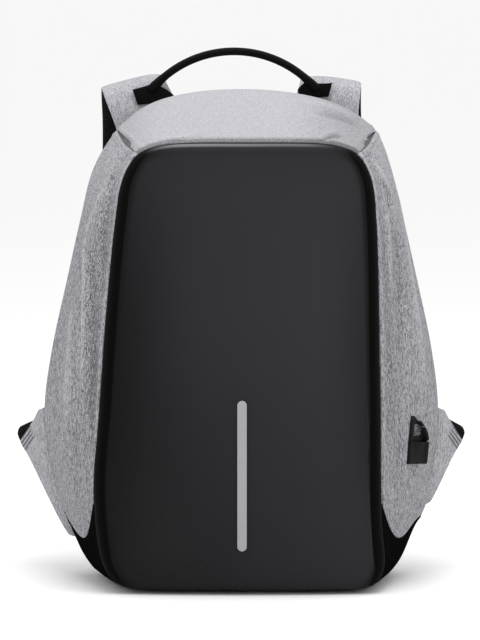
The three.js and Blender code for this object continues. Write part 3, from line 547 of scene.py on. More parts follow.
def spread(line, count):
    """A line through a few points as many evenly spaced ones, on a smooth curve."""
    line = np.asarray(line, float)
    lengths = np.linalg.norm(np.diff(line, axis=0), axis=1)
    at = np.concatenate([[0], np.cumsum(lengths)])
    slope_shade = np.gradient(line, at, axis=0)
    wanted = np.linspace(0, at[-1], count)
    k = np.clip(np.searchsorted(at, wanted) - 1, 0, len(lengths) - 1)
    span = lengths[k]
    t = ((wanted - at[k]) / span)[:, None]
    bend = t * t * (3 - 2 * t)
    start = slope_shade[k] * span[:, None] * t * (1 - t) ** 2
    end = slope_shade[k + 1] * span[:, None] * t * t * (1 - t)
    return line[k] * (1 - bend) + line[k + 1] * bend + start - end


# %% [markdown]
# ## The moulded front panel
# The board bows forward and its cloth rolls back at the edge. The roll turns away from the light, and the
# dark band down both sides of the panel is painted shade over the black of the roll; along the top, where it
# turns up to the light, a painted highlight makes a pale line just under the hood.

# %% Front panel
CROWN_HALF_WIDTH = (0.05, 0.085)
CROWN_BELOW_HOOD = (0.0085, 0.0125)
UPTURN = (0.08, 0.5)

panel = soft_copy("panel_skin", "front_panel", coated, levels=3, crease=0.3)
panel_normals = normals_of(panel)
panel_points = points_of(panel)
under_hood = distance_to(panel_points, "hood")
middle_share = 1 - soft_step(np.abs(panel_points[:, 0] + 0.002), *CROWN_HALF_WIDTH)
# The painted shade of the flank is weaker towards the right, where the light comes from.
lighter_to_right = soft_step(panel_points[:, 0], -0.05, 0.05)
set_attribute(panel, "flank", np.abs(panel_normals[:, 0]) + 0.02 - 0.05 * lighter_to_right)
set_attribute(panel, "under_hood", under_hood)
# Where the panel turns up, the finish mixes in painted shade.
set_attribute(panel, "upturn", soft_step(panel_normals[:, 2], *UPTURN))
# The crown is a painted highlight just below the hood, strongest in the middle and fading to the right.
highlight_fading = 1 - 0.4 * soft_step(panel_points[:, 0], -0.05, 0.06)
painted_light_near_hood = 1 - soft_step(under_hood, *CROWN_BELOW_HOOD)
set_attribute(panel, "crown", middle_share * highlight_fading * painted_light_near_hood)

# %% [markdown]
# ## Padding under pressure
# A pad swells where its filling presses on the cover. The pad's copy is remeshed into even cells, blown up
# a little as cloth with pressure inside and no gravity, and each point may move only so far. Where it has a
# neighbour, it stays as it was. Seams and channels come after this, because the remesh is too coarse for
# them.

# %% Padding
PRESSURE = 4.0
FRAMES = 20


def swell(piece, voxel, furthest, share_of):
    """Blows a pad up by at most furthest metres; share_of gives how free each point is, from 0 to 1."""
    cells = piece.modifiers.new("cells", "REMESH")
    cells.mode = "VOXEL"
    cells.voxel_size = voxel
    apply(piece)
    rest = points_of(piece)
    share = share_of(rest, normals_of(piece))
    cloth = piece.modifiers.new("filling", "CLOTH")
    cloth.settings.use_pressure = True
    cloth.settings.uniform_pressure_force = PRESSURE
    cloth.settings.effector_weights.gravity = 0
    cloth.point_cache.frame_start = 1
    cloth.point_cache.frame_end = FRAMES
    for frame_number in range(1, FRAMES + 1):
        bpy.context.scene.frame_set(frame_number)
    apply(piece)
    bpy.context.scene.frame_set(1)
    blown = points_of(piece) - rest
    set_points(piece, rest)
    normals = normals_of(piece)
    outward = np.clip((blown * normals).sum(axis=1), 0, furthest)
    set_points(piece, rest + normals * (share * outward)[:, None])
    subdivide(piece, 1)
    shade_smooth(piece)
    print(piece.name, "swelled by up to", round(float((share * outward).max()) * 1000, 1), "mm")


# %% [markdown]
# ## Seams between pieces
# Where two pieces are sewn together, one runs a little way into the other. Points near the neighbour are
# drawn into its surface. A seam's course is found again from the mesh: it is where the distance to the
# neighbour has one value, which is worked out along each edge of the mesh that crosses that value.

# %% Seam helpers
SEAM_STEPS = 40
FACING = 0.15


def sew_to(piece, nodes, reach, sink, free, foot_height):
    """Draws a piece into the nearest of its neighbours where it comes near them, but for its free edge.
    The lowest part, up to foot_height, is drawn in whole."""
    trees = [surface_of(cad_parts[node]) for node in nodes]
    points = points_of(piece)
    low = points[:, 2].min()
    for i, place in enumerate(points):
        found = [tree.find_nearest(Vector(place)) for tree in trees]
        near, normal, _, off = min(found, key=lambda nearest: nearest[3])
        pull = (1 - float(soft_step(off, reach * 0.5, reach))) * (1 - free[i])
        pull = max(pull, 1 - float(soft_step(place[2] - low, 0.0, foot_height)))
        points[i] += (np.array(near - normal * sink) - place) * pull
    set_points(piece, points)


def open_seam(piece, line, reach, width):
    """Draws a piece's cloth back from a gaping seam, most in the middle of the seam."""
    points = points_of(piece)
    course = spread(line, SEAM_STEPS)
    off, where = along_line(points, course)
    last = SEAM_STEPS - 1
    feet = course[np.clip((where * last).round().astype(int), 0, last)]
    away = points - feet
    away /= np.maximum(np.linalg.norm(away, axis=1), 1e-6)[:, None]
    push = width * np.exp(-((off / reach) ** 2)) * np.sin(np.pi * np.clip(where, 0, 1)) ** 1.5
    set_points(piece, points + away * push[:, None])


def seam_line(piece, node, off, axis, facing, count):
    """A smooth line on a piece, at one distance from its neighbour, where the piece faces one way. Its
    points are in order along an axis."""
    points = points_of(piece)
    normals = normals_of(piece)
    gaps = distance_to(points, node) - off
    ends = np.zeros(len(piece.data.edges) * 2, int)
    piece.data.edges.foreach_get("vertices", ends)
    a, b = ends.reshape(-1, 2).T
    faces_it = normals @ np.array(facing) > FACING
    crossing = (gaps[a] * gaps[b] < 0) & faces_it[a] & faces_it[b]
    a, b = a[crossing], b[crossing]
    share = (gaps[a] / (gaps[a] - gaps[b]))[:, None]
    line = points[a] * (1 - share) + points[b] * share
    line = line[np.argsort(line[:, axis])]
    wanted = np.linspace(line[0, axis], line[-1, axis], count)
    width = (wanted[1] - wanted[0]) * 0.7
    weights = np.exp(-(((wanted[:, None] - line[None, :, axis]) / width) ** 2))
    return weights @ line / weights.sum(axis=1)[:, None]


# %% [markdown]
# ## Stitches and teeth
# Thread is too fine for a bump once the bag is seen from near, so each stitch is a little grain of mesh,
# pointed at both ends and half sunk in the cloth. The same grains, set across the line, make the teeth of
# the zip.

# %% Rows of grains
STITCH = {"pitch": 0.0042, "length": 0.003, "width": 0.0006, "height": 0.0003}
KNOT = {"pitch": 0.0012, "length": 0.0012, "width": 0.0022, "height": 0.0007}
TOOTH = {"pitch": 0.0021, "length": 0.0013, "width": 0.0036, "height": 0.0009}


def row_of_grains(name, carrier, lines, grain, material):
    """Small pointed grains along lines on a piece: stitches, a knot, or the teeth of a zip."""
    tree = surface_of(carrier)
    vertices = []
    faces = []
    for line in lines:
        line = np.asarray(line, float)
        total = np.linalg.norm(np.diff(line, axis=0), axis=1).sum()
        course = spread(line, max(int(total / grain["pitch"]), 2))
        for here, there in zip(course[:-1], course[1:]):
            near, normal, _, _ = tree.find_nearest(Vector(here))
            ahead_of = Vector(there - here).normalized()
            beside = ahead_of.cross(normal).normalized()
            first = len(vertices)
            for step, full in ((-0.5, 0.25), (-0.3, 1.0), (0.3, 1.0), (0.5, 0.25)):
                middle = near + ahead_of * (step * grain["length"])
                vertices.append(middle + beside * (grain["width"] * full / 2))
                vertices.append(middle + normal * (grain["height"] * full))
                vertices.append(middle - beside * (grain["width"] * full / 2))
                vertices.append(middle - normal * (grain["height"] * 0.5))
            for ring in range(3):
                for k in range(4):
                    low = first + ring * 4
                    faces.append((low + k, low + (k + 1) % 4, low + 4 + (k + 1) % 4, low + 4 + k))
            faces.append((first, first + 3, first + 2, first + 1))
            faces.append((first + 12, first + 13, first + 14, first + 15))
    mesh = bpy.data.meshes.new(name)
    mesh.from_pydata(vertices, [], faces)
    piece = linked(name, mesh, material)
    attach(piece, "root")
    print(name, len(vertices) // 16, "grains")


# %% [markdown]
# ## Folds in the side cloth
# Cloth that is stuffed from inside keeps a few long soft ridges and hollows. Each is drawn as a short line
# of pixels on the photograph, sent through the camera onto the cloth, and raised or sunk with a round
# profile; the ridges get painted light and the hollows painted shade. The cloth next to the panel sinks into
# a shallow valley, darkened further with painted shade, and comes up again in the hem, which gets a painted
# highlight.

# %% Fold table
FOLDS = {
    "side_left": [
        {
            "pixels": [(114, 168), (99, 198), (87, 232), (84, 280), (83, 340), (81, 400)],
            "width": 0.0022,
            "height": 0.0022,
        },
        {"pixels": [(118, 165), (110, 190), (104, 225), (101, 280)], "width": 0.0045, "height": -0.0024},
        {"pixels": [(96, 225), (93, 280), (92, 340), (92, 400), (94, 460)], "width": 0.008, "height": -0.002},
        {"pixels": [(72, 300), (68, 360), (66, 430)], "width": 0.006, "height": 0.0012},
        {"pixels": [(79, 420), (74, 470), (78, 510)], "width": 0.007, "height": -0.001},
    ],
    "side_right": [
        {"pixels": [(372, 158), (385, 180), (393, 200)], "width": 0.003, "height": 0.0018},
        {"pixels": [(378, 180), (388, 194), (391, 212)], "width": 0.0045, "height": -0.003},
        {"pixels": [(386, 198), (389, 240), (391, 290)], "width": 0.003, "height": 0.0014},
        {"pixels": [(392, 215), (398, 250), (401, 300), (401, 370)], "width": 0.007, "height": -0.002},
        {"pixels": [(397, 190), (409, 240), (418, 320), (425, 390)], "width": 0.006, "height": 0.0014},
        {"pixels": [(398, 400), (400, 440), (396, 490)], "width": 0.007, "height": -0.001},
    ],
    "hood": [
        {"pixels": [(315, 112), (340, 117), (362, 128)], "width": 0.006, "height": -0.0022},
        {"pixels": [(300, 101), (332, 107), (356, 119)], "width": 0.005, "height": 0.0014},
        {"pixels": [(318, 140), (326, 135), (338, 130)], "width": 0.0026, "height": 0.0016},
        {"pixels": [(321, 142), (329, 138), (342, 135)], "width": 0.0024, "height": -0.0036},
        {"pixels": [(160, 146), (176, 139), (196, 135)], "width": 0.003, "height": 0.0012},
        {"pixels": [(172, 142), (186, 139), (204, 136)], "width": 0.003, "height": -0.0014},
    ],
}
DEEPEST_FOLD = 0.0022


def lay_folds(piece, folds):
    """Raises and sinks a piece's outer face along lines drawn on the photograph. Gives each point's lift."""
    tree = surface_of(piece)
    points = points_of(piece)
    normals = normals_of(piece)
    lift = np.zeros(len(points))
    for fold in folds:
        hits = [tree.ray_cast(eye, ray_through(pixel)) for pixel in fold["pixels"]]
        hits = [hit for hit in hits if hit[0] is not None]
        if len(hits) < len(fold["pixels"]):
            print(piece.name, "misses a pixel of", fold["pixels"])
        line = [hit[0] for hit in hits]
        facing = np.mean([hit[1] for hit in hits], axis=0)
        off, where = along_line(points, spread(line, 24))
        outer = normals @ facing > 0.2
        lift += outer * fold["height"] * np.exp(-((off / fold["width"]) ** 2)) * np.sin(np.pi * where) ** 0.6
    set_points(piece, points + normals * lift[:, None])
    return lift


def turn_hem(piece, node, at, width, height):
    """A ridge beside a seam, where the cloth is folded under."""
    points = points_of(piece)
    normals = normals_of(piece)
    ridge = np.exp(-(((distance_to(points, node) - at) / width) ** 2))
    outward = (normals * (points - [0, 0.02, 0.2])).sum(axis=1) > 0
    set_points(piece, points + normals * (outward * ridge * height)[:, None])


# %% Sides
SEWN_EDGE = (0.005, 0.007)
VALLEY_FROM_PANEL = 0.013
VALLEY_WIDTH = 0.007
HEM_STITCHES_AT = 0.0065

for word, outward in (("right", 1), ("left", -1)):
    side = soft_copy(f"side_cloth_{word}", f"side_{word}", side_canvas)
    lift = lay_folds(side, FOLDS[f"side_{word}"])
    turn_hem(side, "front_panel", at=0.0035, width=0.0026, height=0.0009)
    turn_hem(side, "hood", at=0.005, width=0.0022, height=0.0008)
    points = points_of(side)
    from_panel = distance_to(points, "front_panel")
    # Painted light and shade for the side: a highlight on the hem, shade in a valley beside the panel, light
    # on the outer part and towards the hood, and light on fold ridges with shade in fold hollows.
    hem = 1 - soft_step(from_panel, *SEWN_EDGE)
    above_base = soft_step(points[:, 2], 0.08, 0.16)
    valley = np.exp(-(((from_panel - VALLEY_FROM_PANEL) / VALLEY_WIDTH) ** 2)) * above_base
    painted_outer_light = soft_step(from_panel, 0.02, 0.05) * 0.12
    painted_light_near_hood = soft_step(points[:, 2], 0.29, 0.36) * 0.3
    folded = np.clip(lift / DEEPEST_FOLD, 0, 1) * 0.9 + np.clip(lift / DEEPEST_FOLD, -1, 0) * 0.35
    set_attribute(side, "tone", folded + hem * 0.2 - valley * 0.22 + painted_outer_light + painted_light_near_hood)
    seam = seam_line(side, "front_panel", HEM_STITCHES_AT, axis=2, facing=(outward * 0.5, -0.8, 0), count=60)
    row_of_grains(f"hem_stitches_{word}", side, [seam[2:-2]], STITCH, grey_thread)

# %% [markdown]
# ## The hood
# The hood is one piece of the same canvas over the top of the bag, in a paler copy painted with light from
# the lamp above. Its front edge is turned under where it meets the panel, and painted shade darkens the cloth
# there; painted shade also darkens it towards its ends, where it falls away from the light, most to the
# right.

# %% Hood
ROLLED_UNDER = (0.003, 0.008)
HOOD_STITCHES_AT = 0.0075

hood = soft_copy("hood_cloth", "hood", hood_canvas)
hood_lift = lay_folds(hood, FOLDS["hood"])
turn_hem(hood, "front_panel", at=0.0045, width=0.0025, height=0.0007)
for word in ("right", "left"):
    turn_hem(hood, f"side_{word}", at=0.0055, width=0.0022, height=0.0008)
hood_points = points_of(hood)
from_panel = distance_to(hood_points, "front_panel")
# Painted shade on the turned-under hem and on the slopes, painted light and shade on the folds, and painted
# light over the whole hood.
rolled_under_shade = 1 - soft_step(from_panel, *ROLLED_UNDER)
slope_shade = soft_step(hood_points[:, 0], 0.03, 0.1) * 0.55 + soft_step(-hood_points[:, 0], 0.06, 0.12) * 0.3
folded = np.clip(hood_lift / DEEPEST_FOLD, -1, 1) * 0.4
set_attribute(hood, "tone", folded - rolled_under_shade * 1.1 - slope_shade + 0.4)
hood_seam = seam_line(hood, "front_panel", HOOD_STITCHES_AT, axis=0, facing=(0, -0.6, 0.8), count=50)
row_of_grains("hood_stitches", hood, [hood_seam[1:-1]], STITCH, pale_thread)

# %% [markdown]
# ## The eyes in the side seams
# Each eye's middle line is drawn on the photograph. Pairs of rays either side of it find the cloth of the
# hood and of the side, and the cloth between is drawn back to open the eye. The lining is a strip that runs
# between the two a little below them, and a knot of thread closes the eye's lower end.

# %% Eyes
EYES = {
    "left": {
        "middle": [(116, 126), (121, 133), (127, 141), (134, 149), (139, 155)],
        "across": (0.78, -0.62),
    },
    "right": {
        "middle": [(377, 126), (372, 134), (366, 142), (359, 150), (354, 156)],
        "across": (-0.78, -0.62),
    },
}
EYE_HALF_WIDTH = 7.5
EYE_WIDEST = 0.02
EYE_REACH = 0.005
EYE_OPENING = 0.002
LINING_DEPTH = 0.0014
LINING_CELLS = 4
KNOT_HALF_WIDTH = 2.5
KNOT_ROW = -5


def eye_rows(word, count, half_width):
    """Places on the hood and on the side cloth either side of an eye, from its top down."""
    hood_tree = surface_of(hood)
    side_tree = surface_of(bpy.data.objects[f"side_cloth_{word}"])
    across = np.array(EYES[word]["across"])
    rows = []
    for pixel in spread([(x, y, 0) for x, y in EYES[word]["middle"]], count)[:, :2]:
        above = hood_tree.ray_cast(eye, ray_through(pixel + across * half_width))
        below = side_tree.ray_cast(eye, ray_through(pixel - across * half_width))
        if above[0] is not None and below[0] is not None and (above[0] - below[0]).length < EYE_WIDEST:
            rows.append((above, below))
    return rows


for word in EYES:
    middle = [(above[0] + below[0]) / 2 for above, below in eye_rows(word, 12, 4)][:9]
    for piece in (hood, bpy.data.objects[f"side_cloth_{word}"]):
        open_seam(piece, middle, EYE_REACH, EYE_OPENING)
    rows = []
    for above, below in eye_rows(word, 16, EYE_HALF_WIDTH):
        ends = [hit[0] - hit[1] * LINING_DEPTH for hit in (above, below)]
        rows.append([ends[0].lerp(ends[1], k / LINING_CELLS) for k in range(LINING_CELLS + 1)])
    row_length = LINING_CELLS + 1
    places = [place for row in rows for place in row]
    corners = [i * row_length + k for i in range(len(rows) - 1) for k in range(LINING_CELLS)]
    mesh = bpy.data.meshes.new(f"seam_lining_{word}")
    mesh.from_pydata(places, [], [(c, c + 1, c + row_length + 1, c + row_length) for c in corners])
    strip = linked(f"seam_lining_{word}", mesh, lining_canvas)
    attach(strip, "root")
    above, below = eye_rows(word, 16, KNOT_HALF_WIDTH)[KNOT_ROW]
    knot_line = [above[0].lerp(below[0], share) for share in (0.1, 0.5, 0.9)]
    row_of_grains(f"seam_knot_{word}", hood, [knot_line], KNOT, pale_thread)
    print("eye", word, len(rows), "rows")

# %% [markdown]
# ## The black base
# The base is cut from one piece of black canvas that wraps the bottom and rises at the sides.

# %% Base
base = soft_copy("base_cloth", "base", base_canvas)
for word in ("left", "right"):
    turn_hem(base, f"side_{word}", at=0.004, width=0.0018, height=0.0006)

# %% [markdown]
# ## The back: padding, zip tape and teeth
# The back that the photograph hides is a padded panel in spacer mesh. Three sewn channels across each pad
# let it bend, as such backs usually have. The zip runs round the panel: a woven tape with a row of teeth
# along its middle, found by rays from the middle of the back that meet the tape's inner and outer edges.

# %% Back
CHANNELS = (0.105, 0.19, 0.275)
CHANNEL_WIDTH = 0.005
CHANNEL_DEPTH = 0.0032


def free_of_tape(points, normals):
    """The pads swell towards the wearer's back, and not at the zip."""
    return soft_step(distance_to(points, "zip_tape"), 0.006, 0.03) * soft_step(normals[:, 1], 0.1, 0.7)


back = soft_copy("back_cushion", "back_panel", back_mesh)
swell(back, voxel=0.004, furthest=0.003, share_of=free_of_tape)
back_points = points_of(back)
back_normals = normals_of(back)
inside_edge = soft_step(distance_to(back_points, "zip_tape"), 0.02, 0.04)
on_pad = soft_step(np.abs(back_points[:, 0]), 0.016, 0.03) * inside_edge * (back_normals[:, 1] > 0.3)
channels = sum(np.exp(-(((back_points[:, 2] - z) / CHANNEL_WIDTH) ** 2)) for z in CHANNELS)
sunk = channels * on_pad * CHANNEL_DEPTH
set_points(back, back_points - back_normals * sunk[:, None])

# %% Zip
tape = soft_copy("zip_ribbon", "zip_tape", webbing_finish, levels=2, crease=0.8)
tape_low, tape_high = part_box("zip_tape")
tape_centre = (Vector(tape_low) + Vector(tape_high)) / 2
tape_tree = surface_of(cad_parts["zip_tape"])


def zip_middle(turn):
    """The middle of the zip tape's outer face, seen from the middle of the back at one angle."""
    direction = Vector((math.cos(turn), 0, math.sin(turn)))
    inner = tape_tree.ray_cast(tape_centre, direction)[0]
    outer = tape_tree.ray_cast(inner + direction * 1e-4, direction)[0]
    middle = (inner + outer) / 2
    return (middle.x, tape_high[1], middle.z)


zip_course = [zip_middle(math.radians(turn)) for turn in range(-70, 251, 4)]
row_of_grains("zip_teeth", tape, [zip_course], TOOTH, plastic)

# %% [markdown]
# ## Straps and the handle's ends
# The straps are padded mesh inside and grey canvas outside, with a row of stitches along each edge of the
# canvas. In the photograph only their tops show, plump and leaning towards the middle, so the points near
# the top are raised, more on the inner side, and the canvas is trimmed where the black padding shows past
# it. The loops of the adjusters and the handle's ends are flat woven tape with crisp edges. A handle's end
# is stretched towards the handle and widens there.

# %% Straps
def edge_lines(piece, inset, count):
    """Two lines down the back of a strap's outer face, a little inside its left and right edges."""
    points = points_of(piece)[normals_of(piece)[:, 1] > 0.5]
    low = points[:, 2].min() + 0.012
    high = points[:, 2].max() - 0.03
    lines = []
    for sign in (-1, 1):
        line = []
        for height in np.linspace(low, high, count):
            level = points[np.abs(points[:, 2] - height) < 0.004]
            line.append(level[np.argmax(level[:, 0] * sign)] - [sign * inset, 0, 0])
        lines.append(line)
    return lines


STRAP_STITCHES_IN = 0.004
CREST_LIFT = {"right": (0.003, 0.0045), "left": (0.001, 0.0045)}
CREST_DEPTH = 0.025
CREST_FULL = 0.006
CREST_BAND = 0.02
CREST_NARROWING = 0.0045
TAB_LIFT = 0.001
TAB_STRETCH = {"right": 0.011, "left": 0.006}
TAB_FLARE = {"right": 0.6, "left": 1.4}
TAB_FORWARD = 0.002
COVER_TRIM = {"right": 0.003, "left": 0.0}


def lift_crest(piece, outward, lifts):
    """Plumps up the top of a strap, by the first lift at its outer side and the second at its inner one."""
    points = points_of(piece)
    outs = points[:, 0] * outward
    top = points[:, 2].max()
    top_outs = outs[points[:, 2] > top - CREST_BAND]
    inner_share = 1 - soft_step(outs, top_outs.min() + 0.008, top_outs.max())
    lift = lifts[0] + (lifts[1] - lifts[0]) * inner_share
    at_top = soft_step(points[:, 2], top - CREST_DEPTH, top - CREST_FULL)
    points[:, 2] += lift * at_top
    points[:, 0] += outward * CREST_NARROWING * at_top * inner_share**2
    set_points(piece, points)


for word, outward in (("right", 1), ("left", -1)):
    pad = soft_copy(f"strap_cushion_{word}", f"strap_pad_{word}", strap_mesh, levels=3, crease=0.2)
    lift_crest(pad, outward, CREST_LIFT[word])
    cover = soft_copy(f"strap_cover_{word}", f"strap_face_{word}", strap_canvas, levels=3, crease=0.2)
    lift_crest(cover, outward, CREST_LIFT[word])
    points = points_of(cover)
    outs = points[:, 0] * outward
    at_edge = soft_step(outs, outs.max() - 0.012, outs.max() - 0.002)
    points[:, 0] -= outward * COVER_TRIM[word] * at_edge * soft_step(points[:, 2], 0.38, 0.4)
    set_points(cover, points)
    rows = edge_lines(cover, STRAP_STITCHES_IN, 24)
    row_of_grains(f"strap_stitches_{word}", cover, rows, STITCH, grey_thread)
    tie = soft_copy(f"adjuster_loop_{word}", f"strap_loop_{word}", webbing_finish, levels=2, crease=1.0)
    tab = soft_copy(f"handle_end_{word}", f"handle_tab_{word}", webbing_finish, levels=2, crease=1.0)
    points = points_of(tab)
    outs = points[:, 0] * outward
    inner_share = 1 - soft_step(outs, outs.min() + 0.006, outs.max() - 0.002)
    middle_height = np.polyval(np.polyfit(outs, points[:, 2], 1), outs)
    points[:, 0] -= outward * TAB_STRETCH[word] * inner_share
    points[:, 1] -= TAB_FORWARD * inner_share
    below_middle = np.minimum(points[:, 2] - middle_height, 0)
    points[:, 2] += TAB_LIFT * inner_share + below_middle * TAB_FLARE[word] * inner_share
    set_points(tab, points)
    for piece in (cover, tab):
        box = [points_of(piece).min(axis=0).round(4), points_of(piece).max(axis=0).round(4)]
        print(piece.name, "box", *box)

# %% [markdown]
# ## Wings and webbing
# A wing is the same canvas as the side and carries on its line, so its inner edge is drawn into that cloth,
# and its top corner climbs a little way up it. Three sewn rows beside its slanting edge hold the webbing,
# which pokes out from behind that edge, furthest at the tip. The cloth under the right wing is filled out a
# little, to meet the wing's foot.

# %% Wings
WING_CLIMB = 0.0085
WING_REACH = 0.0055
WING_TIP_FALL = 0.0025
WING_FOOT = {"right": 0.009, "left": 0.004}
FOOT_FILLING = {"right": 0.0045, "left": 0.0}
WEBBING_POKE = 0.0053
WEBBING_SLIP = 0.0105
WEBBING_TUCK = 0.0065
SEWN_DEPTH = 0.0012
CLIMB_FROM_SIDE = 0.0055
CLIMB_FROM_SLANT = 0.012
TIP_SIZE = 0.012
FOOT_SIZE = 0.016
WEBBING_NEAR = 0.02
FREE_EDGE = (0.0008, 0.004)
ROWS_END = (0.014, 0.02)

for word, outward in (("right", 1), ("left", -1)):
    wing = soft_copy(f"wing_cloth_{word}", f"wing_{word}", wing_canvas, levels=3, crease=0.75)
    points = points_of(wing)
    tip = points[np.argmax(np.abs(points[:, 0]))].copy()
    top = points[np.argmax(points[:, 2])].copy()
    low_points = points[points[:, 2] < points[:, 2].min() + 0.003]
    foot = low_points[np.argmax(np.abs(low_points[:, 0]))].copy()
    slant = (top - tip) / np.linalg.norm(top - tip)
    inward = (foot - tip) - slant * ((foot - tip) @ slant)
    inward /= np.linalg.norm(inward)
    from_side = distance_to(points, f"side_{word}")
    from_slant = (points - tip) @ inward
    climb = np.exp(-((from_side / CLIMB_FROM_SIDE) ** 2)) * np.exp(-((from_slant / CLIMB_FROM_SLANT) ** 2))
    at_tip = np.exp(-((np.linalg.norm(points - tip, axis=1) / TIP_SIZE) ** 2))
    free = 1 - soft_step(along_line(points, [foot, tip])[0], *FREE_EDGE)
    sew_to(wing, (f"side_{word}", "base"), WING_REACH, SEWN_DEPTH, free, WING_FOOT[word])
    moved = points_of(wing) + np.array([0, 0, WING_CLIMB]) * climb[:, None]
    set_points(wing, moved - slant * (WING_TIP_FALL * at_tip)[:, None])
    set_attribute(wing, "from_edge", (points_of(wing) - tip) @ inward)
    set_attribute(wing, "rows", 1 - soft_step((points_of(wing) - tip) @ slant, *ROWS_END))
    set_attribute(wing, "tone", np.full(len(points), 0.1))

    for piece in (bpy.data.objects[f"side_cloth_{word}"], base):
        filled = points_of(piece)
        near_foot = np.exp(-((np.linalg.norm(filled - foot, axis=1) / FOOT_SIZE) ** 2))
        filled[:, 0] += outward * FOOT_FILLING[word] * near_foot
        set_points(piece, filled)

    band = soft_copy(f"strap_webbing_{word}", f"webbing_{word}", webbing_finish, levels=2, crease=1.0)
    points = points_of(band)
    near_wing = np.exp(-((distance_to(points, f"wing_{word}") / WEBBING_NEAR) ** 2))
    towards_tip = np.clip(1 - (points - tip) @ slant / np.linalg.norm(top - tip), 0, 1.2)
    shift = -inward * WEBBING_POKE - slant * WEBBING_SLIP
    tuck = inward * WEBBING_TUCK - np.array([0, 0, WEBBING_TUCK])
    pulled = towards_tip[:, None] * shift + np.clip(1 - towards_tip, 0, 1)[:, None] * tuck
    set_points(band, points + near_wing[:, None] * pulled)
    print(wing.name, "tip", tip.round(3), "top", top.round(3), "foot", foot.round(3))

# %% [markdown]
# ## The handle
# The handle is webbing rolled round a cord, and its ends are pressed flatter and wider where they run onto
# the straps. Its middle line is an arc of a circle, found again here from the solid's own points, so that
# each point knows how far along and how far round the roll it is, and the braid follows.

# %% Handle
END_REACH = 0.014
END_STRETCH = 0.006
END_WIDENING = 0.35
END_FLATTENING = 0.3

roll = soft_copy("handle_braid", "handle_roll", braid_finish, levels=2, crease=0.0)
roll_points = points_of(roll)
flat_points = roll_points[:, [0, 2]]
unknowns = np.column_stack([2 * flat_points, np.ones(len(flat_points))])
circle = np.linalg.lstsq(unknowns, (flat_points**2).sum(axis=1), rcond=None)[0]
arc_centre = circle[:2]
arc_radius = math.sqrt(circle[2] + arc_centre @ arc_centre)
from_centre = flat_points - arc_centre
reach = np.linalg.norm(from_centre, axis=1) - arc_radius
along = np.arctan2(from_centre[:, 0], from_centre[:, 1]) * arc_radius
middle_y = (roll_points[:, 1].min() + roll_points[:, 1].max()) / 2
depth = roll_points[:, 1] - middle_y
at_end = soft_step(np.abs(along), np.abs(along).max() - END_REACH, np.abs(along).max())
turned = (along + np.sign(along) * at_end * END_STRETCH) / arc_radius
distance = arc_radius + reach * (1 + at_end * END_WIDENING)
roll_x = arc_centre[0] + distance * np.sin(turned)
roll_y = middle_y + depth * (1 - at_end * END_FLATTENING)
roll_z = arc_centre[1] + distance * np.cos(turned)
set_points(roll, np.column_stack([roll_x, roll_y, roll_z]))
set_attribute(roll, "along", along)
set_attribute(roll, "around", np.arctan2(depth, reach))
# Painted light: the top of the roll, which faces the overhead light, gets the pale strands.
set_attribute(roll, "top_side", 0.25 + 0.75 * soft_step(normals_of(roll)[:, 2], 0.1, 0.8))
print("handle: radius", round(arc_radius, 4))

# %% [markdown]
# ## The charging port
# The port is a rubber moulding: a shield-shaped scoop with a block below it, whose socket opens upwards.
# The solid has its outline and its reach. The real moulding leans: it is thin towards the front and full
# towards the back, so that its broad outer face turns to someone who looks at the bag. How far each point
# stands out is multiplied by a share that rises from front to back, more on the shield than on the block.
# The floor of the scoop gets its paler rubber, and the rear of the moulding, which turns from the light,
# painted shade: a darker grey mixed into the black rubber.

# %% Port
PORT_FRONT_SHARE = 0.3
PORT_BACK_SHARE = 0.72
SHIELD_BACK_SHARE = 1.15
BLOCK_TOP = 0.43
SCOOP_UP = (0.62, 0.82)
SCOOP_BACK = (0.25, 0.7)
SCOOP_SUNK = 0.0045
REAR_STEP = (0.68, 0.76)

bm = welded("charging_port")
port_low, port_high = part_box("charging_port")
port_centre = (Vector(port_low) + Vector(port_high)) / 2
facing = surface_of(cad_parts["side_right"]).find_nearest(port_centre)[1]
facing = Vector((facing.x, facing.y, 0)).normalized()
if facing.x < 0:
    facing = -facing
backward = Vector((-facing.y, facing.x, 0))
bmesh.ops.subdivide_edges(bm, edges=bm.edges[:], cuts=3, use_grid_fill=True)
outs = [vertex.co.dot(facing) for vertex in bm.verts]
alongs = [vertex.co.dot(backward) for vertex in bm.verts]
scoop = set()
port_tree = BVHTree.FromBMesh(bm)
bm.faces.ensure_lookup_table()
for up in np.linspace(*SCOOP_UP, 8):
    for back_share in np.linspace(*SCOOP_BACK, 9):
        height = port_low[2] + (port_high[2] - port_low[2]) * up
        place = backward * (min(alongs) + (max(alongs) - min(alongs)) * back_share)
        place += facing * (max(outs) + 0.01) + Vector((0, 0, height))
        found = port_tree.ray_cast(place, -facing)
        if found[0] is not None and max(outs) - found[0].dot(facing) > SCOOP_SUNK:
            scoop.add(found[2])
rear = []
for vertex in bm.verts:
    back_share = (vertex.co.dot(backward) - min(alongs)) / (max(alongs) - min(alongs))
    up_share = (vertex.co.z - port_low[2]) / (port_high[2] - port_low[2])
    on_shield = float(soft_step(up_share, BLOCK_TOP, BLOCK_TOP + 0.06))
    full = PORT_BACK_SHARE + (SHIELD_BACK_SHARE - PORT_BACK_SHARE) * on_shield
    rise = float(soft_step(back_share, 0.1, 0.85)) * (1 - on_shield) + back_share**0.8 * on_shield
    keep = PORT_FRONT_SHARE + (full - PORT_FRONT_SHARE) * rise
    # Painted shade on the rear, which turns from the light.
    rear.append(float(soft_step(back_share - 0.14 * on_shield, *REAR_STEP)))
    vertex.co += facing * ((vertex.co.dot(facing) - min(outs)) * (keep - 1))
port_mesh = bpy.data.meshes.new("port_moulding")
bm.to_mesh(port_mesh)
bm.free()
port = linked("port_moulding", port_mesh, rubber)
set_attribute(port, "rear", rear)
port.data.materials.append(scoop_rubber)
